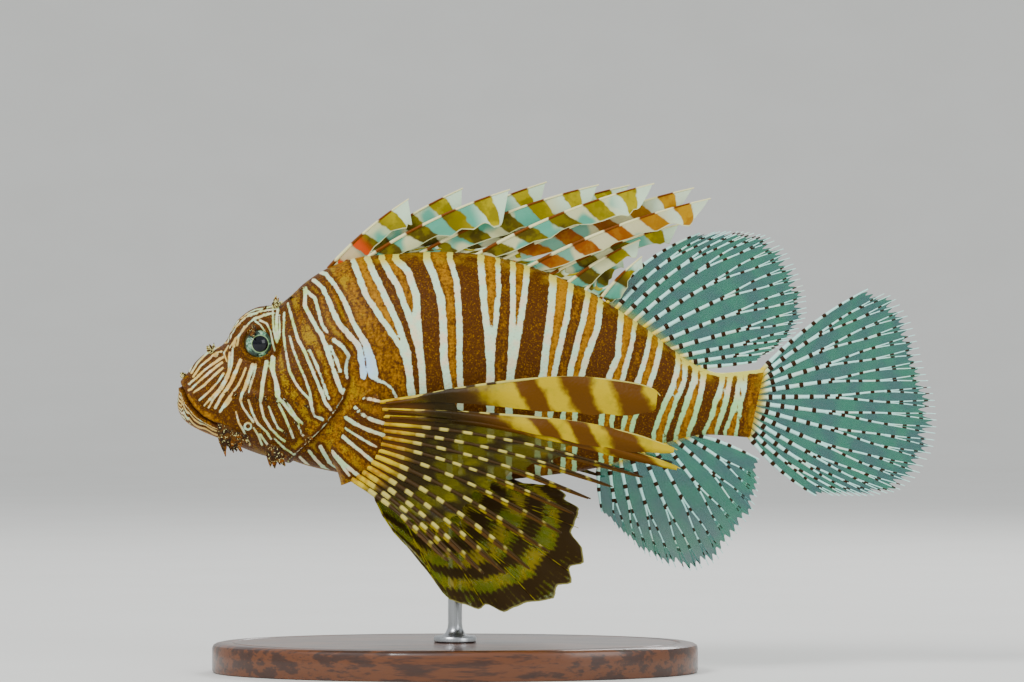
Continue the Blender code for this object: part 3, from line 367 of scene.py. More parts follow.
def skin_places(x, angle):
    """Places of the skin, from stations and angles that run from the back down the left side."""
    middle = widest_height(x)
    up, side = np.cos(angle), np.sin(angle)
    upper = up >= 0.0
    z = middle + np.where(upper, back(x) - middle, middle - belly(x)) * up
    draw = np.where(upper, upper_draw(x), lower_draw(x))
    out = half_width(x) * np.abs(side) ** draw + swelling(x, z) * head_share(x, z) * np.abs(side)
    return np.stack((x, -np.sign(side) * out, z), axis=-1)


def skin_side(x, z):
    """How far the skin is from the middle plane at this place of the side."""
    middle = widest_height(x)
    upper = z >= middle
    reach = np.where(upper, back(x) - middle, middle - belly(x))
    side = np.sqrt(np.clip(1.0 - ((z - middle) / reach) ** 2, 0.0, 1.0))
    draw = np.where(upper, upper_draw(x), lower_draw(x))
    return half_width(x) * side**draw + swelling(x, z) * head_share(x, z) * side


def skin_foot(x, y):
    """Height of the belly's skin at a distance from the middle plane."""
    side = min(abs(y) / half_width(x), 1.0) ** (1.0 / lower_draw(x))
    middle = widest_height(x)
    return float(middle - (middle - belly(x)) * math.sqrt(1.0 - side * side))


# Materials: values and colours of a node tree, written as sums.


def srgb(red, green, blue):
    """A colour by its screen values, 0 to 255, deepened because the tone curve pales it."""
    linear = [
        c / 12.92 if c <= 0.04045 else ((c + 0.055) / 1.055) ** 2.4
        for c in (red / 255.0, green / 255.0, blue / 255.0)
    ]
    grey = sum(linear) / 3.0
    return (*(max(grey + 1.3 * (c - grey), 0.0) for c in linear), 1.0)


class Channel:
    """A value or colour of a material's node tree, with maths as Python writes it."""

    def __init__(self, paint, socket):
        self.paint = paint
        self.socket = socket

    def maths(self, operation, *inputs):
        return self.paint.put("ShaderNodeMath", {"operation": operation}, dict(enumerate(inputs)))

    def __add__(self, other):
        return self.maths("ADD", self, other)

    __radd__ = __add__

    def __sub__(self, other):
        return self.maths("SUBTRACT", self, other)

    def __rsub__(self, other):
        return self.maths("SUBTRACT", other, self)

    def __mul__(self, other):
        return self.maths("MULTIPLY", self, other)

    __rmul__ = __mul__

    def __truediv__(self, other):
        return self.maths("DIVIDE", self, other)

    def largest(self, other):
        return self.maths("MAXIMUM", self, other)

    def size(self):
        return self.maths("ABSOLUTE", self)

    def sine(self):
        return self.maths("SINE", self)

    def rise(self, low, high):
        """0 at low, 1 at high, smooth between them; high may be the smaller."""
        names = {"Value": self, "From Min": low, "From Max": high}
        return self.paint.put("ShaderNodeMapRange", {"interpolation_type": "SMOOTHSTEP"}, names)


class Paint:
    """A material and the calls that build its nodes."""

    def __init__(self, name, roughness=0.5, **fixed):
        self.material = bpy.data.materials.new(name)
        self.material.use_nodes = True
        self.tree = self.material.node_tree
        self.shader = self.tree.nodes["Principled BSDF"]
        self.shader.inputs["Roughness"].default_value = roughness
        for socket, value in fixed.items():
            self.shader.inputs[socket.replace("_", " ")].default_value = value

    def put(self, kind, settings=None, inputs=None, output=0):
        """Any node: its type, its settings, the values or links of its sockets, which output."""
        made = self.tree.nodes.new(kind)
        for name, value in (settings or {}).items():
            setattr(made, name, value)
        for name, value in (inputs or {}).items():
            self.feed(made.inputs[name], value)
        return Channel(self, made.outputs[output])

    def feed(self, socket, value):
        if isinstance(value, Channel):
            self.tree.links.new(value.socket, socket)
        else:
            socket.default_value = value

    def attribute(self, name):
        return self.put("ShaderNodeAttribute", {"attribute_name": name}, output="Fac")

    def attributes(self, *names):
        return [self.attribute(name) for name in names]

    def places(self, *scale):
        """Object coordinates in millimetres, stretched along each axis."""
        own = self.put("ShaderNodeTexCoord", output="Object")
        factors = [1.0 / MM * s for s in scale or (1.0, 1.0, 1.0)]
        return self.put("ShaderNodeVectorMath", {"operation": "MULTIPLY"}, {0: own, 1: factors})

    def noise(self, places, scale, detail=2.0, roughness=0.5):
        inputs = {"Vector": places, "Scale": scale, "Detail": detail, "Roughness": roughness}
        return self.put("ShaderNodeTexNoise", None, inputs)

    def cells(self, places, scale, feature="F1"):
        inputs = {"Vector": places, "Scale": scale}
        return self.put("ShaderNodeTexVoronoi", {"feature": feature}, inputs)

    def mix(self, share, first, second):
        """Between two colours."""
        inputs = {0: share, 6: first, 7: second}
        return self.put("ShaderNodeMix", {"data_type": "RGBA"}, inputs, output=2)

    def bump(self, height, distance, strength=1.0):
        inputs = {"Height": height, "Distance": distance, "Strength": strength}
        return self.put("ShaderNodeBump", None, inputs)

    def finish(self, **outputs):
        for socket, value in outputs.items():
            self.feed(self.shader.inputs[socket.replace("_", " ")], value)
        return self.material


def skin_paint():
    """Brown bars, ochre between the members of a pair, white stripes with wavy edges, scales."""
    paint = Paint("striped_skin", 0.45, IOR=1.2)
    places = paint.places()
    white, tone, fine = paint.attributes("white", "tone", "fineness")
    wobble = paint.noise(places, 0.30, 3.0, 0.6) - 0.5
    ripple = paint.noise(places, 1.1, 2.0) - 0.5
    edge = white + wobble * (1.5 - fine * 0.9) + ripple * (0.55 - 0.25 * fine)
    stripe = edge.rise(-0.2, 0.2)
    blotch = paint.noise(places, 0.16, 4.0, 0.6)
    streak = paint.noise(paint.places(1.0, 1.0, 0.35), 0.9, 3.0, 0.6)
    speck = paint.noise(places, 1.5, 2.0, 0.7)
    outline = edge.rise(-2.0, -0.4)
    scales = paint.cells(paint.places(0.8, 1.0, 1.0), 0.85)
    shade = tone + (blotch - 0.5) * 0.8 + (streak - 0.5) * 1.2 + (scales - 0.42) * 0.5
    shade = shade + outline * (0.25 + 0.55 * fine)
    brown = paint.mix(shade.rise(0.1, 1.0), srgb(158, 114, 8), srgb(74, 44, 0))
    brown = paint.mix(speck.rise(0.56, 0.70) * 0.6, brown, srgb(166, 124, 16))
    brown = paint.mix(speck.rise(0.44, 0.3) * 0.6, brown, srgb(40, 20, 0))
    olive = paint.attribute("olive")
    gold = olive * (blotch + (speck - 0.5) * 0.5).rise(0.46, 0.58) * edge.rise(-1.0, -2.2)
    brown = paint.mix(gold * 0.65, brown, srgb(162, 134, 6))
    pale = paint.mix(blotch.rise(0.42, 0.66), srgb(198, 226, 196), srgb(226, 214, 184))
    pale = paint.mix(paint.attribute("green") * 0.75, pale, srgb(158, 212, 142))
    cream = fine * (1.0 - olive) * paint.noise(places, 0.22, 2.0).rise(0.36, 0.56)
    pale = paint.mix(cream * 0.8, pale, srgb(216, 176, 104))
    pale = paint.mix(fine * olive * blotch.rise(0.52, 0.42) * 0.7, pale, srgb(188, 206, 116))
    pale = paint.mix(speck.rise(0.58, 0.74) * 0.5, pale, srgb(140, 158, 112))
    pale = paint.mix(paint.attribute("blue"), pale, srgb(186, 216, 240))
    yellow = paint.attribute("yellow")
    pale = paint.mix(yellow * 0.8, pale, srgb(204, 190, 50))
    brown = paint.mix(yellow * blotch.rise(0.4, 0.7) * 0.5, brown, srgb(170, 140, 20))
    colour = paint.mix(stripe, brown, pale)
    # Painted shade: dark brown in the mouth's slit and under the gill cover's rim, and a dark line
    # on the lower cover.
    colour = paint.mix(paint.attribute("slit_shade_and_lining"), colour, srgb(60, 30, 12))
    grain = paint.noise(places, 2.4, 2.0)
    relief = scales * 0.55 + grain * 0.35 + stripe * 0.12
    return paint.finish(
        Base_Color=colour,
        Roughness=0.38 + speck * 0.2,
        Normal=paint.bump(relief, 0.00035, 0.8),
    )


def eye_paint():
    """A blue-black pupil in a silvery green iris with dark spokes, under a clear cornea."""
    paint = Paint("eye", 0.12, IOR=1.33, Coat_Weight=0.25, Coat_Roughness=0.02)
    off, round_eye = paint.attributes("off_axis", "round_eye")
    places = paint.places()
    cloud = paint.noise(places, 0.9, 3.0)
    off = off + (cloud - 0.5) * 0.05
    spokes = (round_eye * 4.0 + cloud * 6.0 + 0.6).sine()
    iris = paint.mix(cloud.rise(0.38, 0.62), srgb(84, 122, 100), srgb(164, 196, 168))
    iris = paint.mix(spokes.rise(-0.7, -0.1) * off.rise(0.50, 0.60) * 0.92, iris, srgb(12, 30, 26))
    iris = paint.mix(off.rise(0.80, 0.93), iris, srgb(50, 40, 14))
    iris = paint.mix(off.rise(0.535, 0.515), iris, srgb(140, 162, 120))
    colour = paint.mix(off.rise(0.495, 0.47), iris, srgb(2, 4, 14))
    return paint.finish(Base_Color=colour, Roughness=0.08 + off * 0.15)


def clear_fin_paint():
    """Pale rays with dark brown beads on a smoky clear membrane."""
    paint = Paint("clear_fin", 0.35, IOR=1.22)
    places = paint.places()
    ray, mark, along = paint.attributes("ray", "mark", "along")
    cloud = paint.noise(places, 0.10, 3.0)
    grain = paint.noise(places, 0.9, 2.0)
    bead = (mark + (grain - 0.5) * 0.3).rise(0.34, 0.5)
    bone = paint.mix(along.rise(0.01, 0.10), srgb(216, 190, 50), srgb(200, 242, 234))
    bone = paint.mix(cloud.rise(0.5, 0.68) * 0.4, bone, srgb(234, 236, 208))
    bone = paint.mix(bead, bone, srgb(46, 27, 8))
    film = paint.mix(cloud.rise(0.35, 0.65), srgb(12, 84, 82), srgb(50, 112, 92))
    film = paint.mix(along.rise(0.07, 0.0) * 0.7, film, srgb(150, 150, 60))
    film = paint.mix(bead * 0.9, film, srgb(52, 32, 12))
    colour = paint.mix(ray, film, bone)
    cover = 0.56 + cloud * 0.2 + bead * 0.3
    relief = paint.bump(grain, 0.0002, 0.4)
    return paint.finish(Base_Color=colour, Alpha=ray.largest(cover), Normal=relief)


def spine_paint():
    """Flags of the back: olive bands between teal and pale ones, whitish tips, an orange root."""
    paint = Paint("banded_flags", 0.4, IOR=1.22)
    places = paint.places()
    ray, mark, along = paint.attributes("ray", "mark", "along")
    warm, across = paint.attributes("warm", "across")
    cloud = paint.noise(places, 0.13, 3.0, 0.6)
    patch = paint.noise(places, 0.07, 1.0)
    grain = paint.noise(places, 0.8, 2.0)
    band = (mark + (cloud - 0.5) * 0.9).rise(0.42, 0.58)
    light = paint.mix(patch.rise(0.44, 0.54), srgb(104, 166, 144), srgb(206, 208, 168))
    light = paint.mix(along.rise(0.70, 0.82), light, srgb(212, 232, 206))
    dark = paint.mix(along.rise(0.45, 0.85), srgb(72, 62, 8), srgb(158, 146, 40))
    dark = paint.mix(cloud.rise(0.46, 0.6) * 0.7, dark, srgb(112, 104, 14))
    film = paint.mix(band, light, dark)
    film = paint.mix(warm * (0.3 + 0.7 * band), film, srgb(184, 84, 16))
    film = paint.mix(across.rise(0.93, 0.99), film, srgb(206, 212, 170))
    bone = paint.mix(band, srgb(226, 222, 178), srgb(104, 62, 14))
    colour = paint.mix(ray, film, bone)
    relief = paint.bump(grain, 0.0003, 0.5)
    return paint.finish(Base_Color=colour, Alpha=ray.largest(0.78 + band * 0.18), Normal=relief)


def pectoral_paint():
    """Golden blades with brown bands, and olive webs between dark rays with cream beads."""
    paint = Paint("banded_blades", 0.4, IOR=1.22)
    places = paint.places()
    ray, mark, along = paint.attributes("ray", "mark", "along")
    leaf = paint.attribute("warm")
    cloud = paint.noise(places, 0.12, 3.0, 0.6)
    grain = paint.noise(places, 0.9, 2.0)
    root = along.rise(0.20, 0.06)
    band = (mark + (cloud - 0.5) * 0.7).rise(0.34, 0.66)
    light = paint.mix(leaf, srgb(80, 76, 8), srgb(180, 158, 10))
    light = paint.mix(cloud.rise(0.5, 0.66) * 0.4, light, srgb(136, 130, 30))
    dark = paint.mix(leaf, srgb(38, 29, 4), srgb(86, 56, 0))
    film = paint.mix(band, light, dark)
    film = paint.mix(root * (1.0 - leaf), film, srgb(78, 50, 2))
    dash = paint.mix(leaf, srgb(186, 176, 112), srgb(232, 230, 184))
    bone = paint.mix(band, dash, srgb(56, 42, 24))
    golden = paint.mix(cloud.rise(0.4, 0.6), srgb(196, 172, 84), srgb(150, 112, 30))
    bone = paint.mix(root, bone, golden)
    colour = paint.mix(ray, film, bone)
    cover = 0.62 + band * 0.3 + leaf * 0.34 + root * 0.3
    cover = cover - along.rise(0.42, 0.7) * (1.0 - leaf) * 0.2
    relief = paint.bump(grain, 0.0003, 0.5)
    return paint.finish(Base_Color=colour, Alpha=ray.largest(cover), Normal=relief)


def pelvic_paint():
    """Dark brown and olive rings, broken by the rays, on a leafy fin with a thin pale rim."""
    paint = Paint("dark_fan", 0.45, IOR=1.22)
    places = paint.places()
    ray, mark, along = paint.attributes("ray", "mark", "along")
    cloud = paint.noise(places, 0.11, 4.0, 0.65)
    grain = paint.noise(places, 0.9, 2.0)
    strands = (paint.attribute("across") * 50.0 + cloud * 3.0).sine()
    band = (mark + (cloud - 0.5) * 2.0 + (grain - 0.5) * 0.4 - strands * 0.16).rise(0.2, 0.8)
    olive = paint.mix(cloud.rise(0.4, 0.6), srgb(96, 104, 16), srgb(138, 124, 30))
    film = paint.mix(band, olive, srgb(44, 31, 4))
    film = paint.mix(along.rise(0.988, 0.995) * 0.7, film, srgb(150, 146, 96))
    bone = paint.mix(band, srgb(150, 140, 50), srgb(62, 42, 14))
    colour = paint.mix(ray * 0.8, film, bone)
    relief = paint.bump(grain, 0.0003, 0.6)
    return paint.finish(Base_Color=colour, Alpha=ray.largest(0.68 + band * 0.28), Normal=relief)


def flap_paint():
    """Ragged skin flaps: dark brown with white and orange specks."""
    paint = Paint("speckled_flaps", 0.5, IOR=1.22)
    places = paint.places()
    along = paint.attribute("along")
    speck = paint.noise(places, 1.3, 2.0, 0.6) + paint.attribute("mark") * 0.12
    blotch = paint.noise(places, 0.5, 2.0)
    colour = paint.mix(blotch.rise(0.4, 0.6), srgb(34, 19, 2), srgb(76, 50, 8))
    colour = paint.mix(speck.rise(0.61, 0.66), colour, srgb(206, 202, 150))
    rust = along.rise(0.6, 1.0) * blotch.rise(0.5, 0.6)
    colour = paint.mix(rust * 0.5, colour, srgb(140, 84, 20))
    return paint.finish(Base_Color=colour, Roughness=0.4 + 0.3 * speck)


def wood_paint():
    """Dark walnut under satin lacquer, its grain along the base."""
    paint = Paint("stand_walnut", 0.35, Coat_Weight=0.5, Coat_Roughness=0.12)
    grain = paint.noise(paint.places(0.012, 0.11, 0.11), 1.0, 5.0, 0.62)
    pores = paint.noise(paint.places(0.05, 0.9, 0.9), 1.0, 2.0)
    rings = (grain * 26.0).sine() * 0.5 + 0.5
    colour = paint.mix(rings.rise(0.1, 0.95), srgb(52, 27, 15), srgb(92, 54, 32))
    colour = paint.mix(pores.rise(0.55, 0.7) * 0.6, colour, srgb(34, 17, 9))
    return paint.finish(
        Base_Color=colour,
        Roughness=0.3 + 0.2 * pores,
        Normal=paint.bump(pores, 0.0001, 0.5),
    )


def steel_paint():
    """Brushed steel."""
    paint = Paint("stand_steel", 0.28, Metallic=1.0)
    brush = paint.noise(paint.places(3.0, 3.0, 0.04), 1.0, 2.0)
    colour = paint.mix(brush, srgb(158, 160, 162), srgb(186, 188, 190))
    return paint.finish(
        Base_Color=colour,
        Roughness=0.2 + 0.18 * brush,
        Normal=paint.bump(brush, 0.00003, 0.4),
    )


def floor_paint():
    paint = Paint("studio_floor", 0.7)
    cloud = paint.noise(paint.places(0.01, 0.01, 0.01), 1.0, 3.0)
    colour = paint.mix(cloud, srgb(222, 222, 218), srgb(230, 230, 227))
    return paint.finish(Base_Color=colour)


# Meshes.

LAYERS = ("ray", "mark", "along", "across", "warm")
WELD = 1e-3


def fish_mesh():
    """An empty mesh with the layers that the fins' materials read."""
    bm = bmesh.new()
    for name in LAYERS:
        bm.verts.layers.float.new(name)
    return bm


def new_object(name, data):
    made = bpy.data.objects.new(name, data)
    bpy.context.scene.collection.objects.link(made)
    return made


def mesh_object(name, bm):
    mesh = bpy.data.meshes.new(name)
    bm.to_mesh(mesh)
    bm.free()
    return new_object(name, mesh)


def put_piece(name, bm, paint, stands_for=(), smooth_angle=40.0):
    """Finishes a piece: metres, in place, with its material, riding on the fish's one body."""
    bmesh.ops.scale(bm, vec=(MM, MM, MM), verts=bm.verts)
    bmesh.ops.translate(bm, vec=(-ROD_STATION * MM, 0.0, AXIS_HEIGHT * MM), verts=bm.verts)
    piece = mesh_object(name, bm)
    piece.data.shade_smooth()
    piece.data.set_sharp_from_angle(angle=math.radians(smooth_angle))
    piece.data.materials.append(paint)
    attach(piece, ROOT)
    if stands_for:
        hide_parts(*stands_for)


def sheet(bm, columns, rows, place, layers=None):
    """Adds a sheet of columns by rows cells. place(column, row) gives a corner and layers(column,
    row) its values, by name. Gives back the sheet's corners and faces."""
    made = bmesh.ops.create_grid(bm, x_segments=columns, y_segments=rows, size=1.0)["verts"]
    for i, vert in enumerate(made):
        row, column = divmod(i, columns + 1)
        vert.co = Vector(place(column, row))
        if layers:
            for name, value in layers(column, row).items():
                vert[bm.verts.layers.float[name]] = value
    faces = list({face for vert in made for face in vert.link_faces})
    return made, faces


def close_round(bm, verts):
    """Welds the seam of a rolled sheet and closes its two ends."""
    faces = {face for vert in verts for face in vert.link_faces}
    bmesh.ops.remove_doubles(bm, verts=verts, dist=WELD)
    faces = {face for face in faces if face.is_valid}
    rims = {edge for face in faces for edge in face.edges if edge.is_boundary}
    if rims:
        faces.update(bmesh.ops.holes_fill(bm, edges=list(rims), sides=0)["faces"])
    bmesh.ops.recalc_face_normals(bm, faces=list(faces))


def tube(bm, path, radii, sides=6, flat=1.0, layers=None, across=Vector((0.0, 1.0, 0.0))):
    """Adds a closed rod along a path; flat scales its thickness along the across axis."""
    path = [Vector(point) for point in path]

    def place(column, row):
        ahead = (path[min(row + 1, len(path) - 1)] - path[max(row - 1, 0)]).normalized()
        level = ahead.cross(across).normalized()
        up = level.cross(ahead)
        angle = 2.0 * math.pi * column / sides
        return path[row] + radii[row] * (math.cos(angle) * level + flat * math.sin(angle) * up)

    values = (lambda column, row: layers(row)) if layers else None
    verts, _ = sheet(bm, sides, len(path) - 1, place, values)
    close_round(bm, verts)


def add_film(bm, columns, rows, place, layers, thickness):
    """Adds a sheet, as sheet does, with a thickness."""
    _, faces = sheet(bm, columns, rows, place, layers)
    bmesh.ops.recalc_face_normals(bm, faces=faces)
    bmesh.ops.solidify(bm, geom=faces, thickness=thickness)


def add_rod(bm, count, at, sides=7, flat=1.0):
    """Adds a closed rod of count steps. at(share of its length) gives place, radius and values."""
    rows = [at(i / count) for i in range(count + 1)]
    path, radii, values = zip(*rows)
    tube(bm, path, radii, sides, flat, lambda row: values[row])


def blend(low, high, share):
    return low + (high - low) * share


# The skin.


def ellipse_loft():
    """The bare body from the tip of the jaw to the base of the tail, closed at both ends."""
    stations = np.concatenate(
        (
            (0.0, 0.08, 0.2, 0.35, 0.55, 0.8, 1.1, 1.45, 1.8),
            np.arange(2.2, 22.0, 0.38),
            np.arange(22.0, 46.0, 0.52),
            np.arange(46.0, 84.0, 0.85),
            np.arange(84.0, 252.1, 1.25),
        )
    )
    bm = bmesh.new()
    bmesh.ops.create_grid(bm, x_segments=SKIN_SIDES, y_segments=len(stations) - 1, size=1.0)
    row, column = np.divmod(np.arange(len(bm.verts)), SKIN_SIDES + 1)
    places = skin_places(stations[row], 2.0 * math.pi * column / SKIN_SIDES)
    for vert, place in zip(bm.verts, places):
        vert.co = place
    close_round(bm, list(bm.verts))
    return bm


def lobe_side(x, z):
    return LOBE_SIDE + LOBE_FLARE * (x - LOBE_CENTRE[0]) + LOBE_LEAN * (z - LOBE_CENTRE[1])


def pectoral_lobe(side):
    """The fleshy base of a pectoral fin: a fan that rises out of the side toward its edge."""
    loop = path_through(
        ((0.0, -13.0), (0.6, -9.0), (0.97, -2.4), (1.0, -1.4), (1.0, 1.2), (0.97, 2.1),
         (0.75, 1.6), (0.4, -0.2), (0.0, -3.0))
    )
    columns, rows = 72, 44
    bm = bmesh.new()

    def place(column, row):
        part = column / columns
        angle = LOBE_FOOT + (LOBE_TOP - LOBE_FOOT) * part
        fade = math.sqrt(max(0.01, 1.0 - (2.0 * part - 1.0) ** 8))
        share, level = loop(row / rows)
        radius = share * (LOBE_RADIUS - 0.4)
        furrow = 0.35 * math.sin(14.0 * math.pi * part) * share**2 * (level > -2.0)
        x = LOBE_CENTRE[0] + radius * math.cos(angle)
        z = LOBE_CENTRE[1] + radius * math.sin(angle)
        out = lobe_side(x, z) + (level - 0.3 + furrow) * fade - LOBE_SINK * (1.0 - fade)
        return (x, side * out, z)

    verts, _ = sheet(bm, columns, rows, place)
    close_round(bm, verts)
    bmesh.ops.triangulate(bm, faces=bm.faces)
    bmesh.ops.recalc_face_normals(bm, faces=bm.faces)
    return bm


def cut(bm, others, operation):
    """Joins meshes to a mesh, or cuts them from it, each by a Boolean that is then applied."""
    target = mesh_object("target", bm)
    tools = [mesh_object("tool", other) for other in others]
    for tool in tools:
        boolean = target.modifiers.new("join", "BOOLEAN")
        boolean.operation = operation
        boolean.solver = "MANIFOLD"
        boolean.object = tool
    evaluated = target.evaluated_get(bpy.context.evaluated_depsgraph_get())
    result = bmesh.new()
    result.from_mesh(evaluated.to_mesh())
    evaluated.to_mesh_clear()
    for used in [*tools, target]:
        bpy.data.objects.remove(used, do_unlink=True)
    return result


def soften_lobe_root(bm):
    """Smooths the crease where each pectoral base grows from the body."""
    near = []
    for edge in bm.edges:
        x, y, z = edge.verts[0].co
        reach = math.hypot(x - LOBE_CENTRE[0], z - LOBE_CENTRE[1])
        if reach < 25.2 and len(edge.link_faces) == 2 and abs(y) > 5.0 and z < 12.0:
            if edge.calc_face_angle() > math.radians(9.0):
                near.append(edge.verts[0])
    zone = set(near)
    for _ in range(3):
        zone |= {edge.other_vert(vert) for vert in zone for edge in vert.link_edges}
    for _ in range(14):
        bmesh.ops.smooth_vert(
            bm, verts=list(zone), factor=0.5, use_axis_x=True, use_axis_y=True, use_axis_z=True
        )


def eye_frame(side, heading):
    """Centre of the eye, and the outward, level and upward axes of a heading."""
    centre = np.array((EYE_PLACE[0], side * EYE_PLACE[1], EYE_PLACE[2]))
    axis = np.array((heading[0], side * heading[1], heading[2]))
    axis /= np.linalg.norm(axis)
    level = np.cross(axis, (0.0, 0.0, 1.0))
    level /= np.linalg.norm(level)
    return centre, axis, level, np.cross(level, axis)


def line_distance(x, z, points):
    """Distance of places in side view from a line of points, and how far along it they lie."""
    best = np.full(x.shape, 1e6)
    along = np.zeros(x.shape)
    points = np.array(points, dtype=float)
    count = len(points) - 1
    for i in range(count):
        step = points[i + 1] - points[i]
        over, up = x - points[i][0], z - points[i][1]
        t = np.clip((over * step[0] + up * step[1]) / step.dot(step), 0, 1)
        d = np.hypot(over - t * step[0], up - t * step[1])
        along = np.where(d < best, (i + t) / count, along)
        best = np.minimum(best, d)
    return best, along


def across_mouth(places):
    """Signed distance from the line of the mouth, up positive."""
    x, y, z = places.T
    level = MOUTH_RISE * (1.0 - np.minimum((y / half_width(np.maximum(x, 1.0))) ** 2, 1.4))
    station = np.maximum(x, 0.0)
    slope = (mouth_line(station + 0.2) - mouth_line(np.maximum(station - 0.2, 0.0))) / 0.4
    return (z - level - mouth_line(station)) / np.sqrt(1.0 + slope**2)


def shape_face(places, normals):
    """Moulds lips, orbits, nostrils and the gill cover's edge into the skin."""
    x, _, z = places.T
    front = 1.0 - smooth_rise(x, MOUTH_CORNER - 1.2, MOUTH_CORNER + 1.6)
    gape = across_mouth(places)
    out = -SKIN_INSET * np.ones(len(x))
    out += front * 0.75 * hump(gape - 1.6, 1.0)
    out += front * 0.55 * hump(gape + 1.3, 0.8)
    out -= front * 2.1 * hump(gape, 0.42)
    plate = (1.0 - smooth_rise(x, 19.0, 20.5)) * smooth_rise(x, 3.0, 6.0)
    out -= plate * 0.45 * hump(gape - 4.0, 0.45)
    out -= plate * 0.30 * hump(gape + 3.2, 0.4)

    behind = x - gill_edge_station(z)
    fade = 1.0 - smooth_rise(z, 36.0, 52.0)
    step = smooth_rise(behind, -0.4, 0.7) * np.exp(-np.maximum(behind, 0.0) / 7.0)
    out += fade * (0.35 * hump(behind + 1.6, 1.6) - 1.25 * step)
    inner = behind + 9.0 + 0.06 * (z - 10.0) ** 2 / 10.0
    out -= 0.35 * hump(inner, 0.7) * smooth_rise(z, -16.0, -8.0) * fade

    ridge, _ = line_distance(x, z, CHEEK_RIDGE)
    bumps = np.array([noise.noise(Vector(place) * 0.75) for place in places[x < 64.0]])
    rough = np.zeros(len(x))
    rough[x < 64.0] = bumps
    out += 1.2 * hump(ridge, 1.3) * np.maximum(rough, -0.1)
    brow, _ = line_distance(x, z, BROW_RIDGE)
    out += (0.6 + 1.2 * np.maximum(rough, 0.0)) * hump(brow, 1.5)
    for nx, nz, size in NOSTRILS:
        ny = float(skin_side(nx, nz))
        for side in (LEFT, RIGHT):
            d = np.linalg.norm(places - (nx, side * ny, nz), axis=1)
            out += size * 0.55 * hump(d - 1.35 * size, 0.5 * size)
            out -= size * 1.1 * hump(d, 0.65 * size)
    places = places + normals * out[:, None]

    ring = curve_through(
        ((0.0, 5.0), (4.6, 4.6), (5.5, 4.25), (6.0, 4.3), (6.35, 4.75), (6.9, 4.85), (7.5, 4.3),
         (8.2, 3.3), (9.2, 2.6), (12.0, 1.5))
    )
    for side in (LEFT, RIGHT):
        centre, axis, _, _ = eye_frame(side, EYE_AXIS)
        offset = places - centre
        height = offset @ axis
        spread = np.linalg.norm(offset - height[:, None] * axis, axis=1)
        near = (height > -2.0) & (spread < 11.0)
        weight = (1.0 - smooth_rise(spread, 7.0, 10.0)) * near
        places = places + ((ring(spread) - height) * weight)[:, None] * axis
    return places


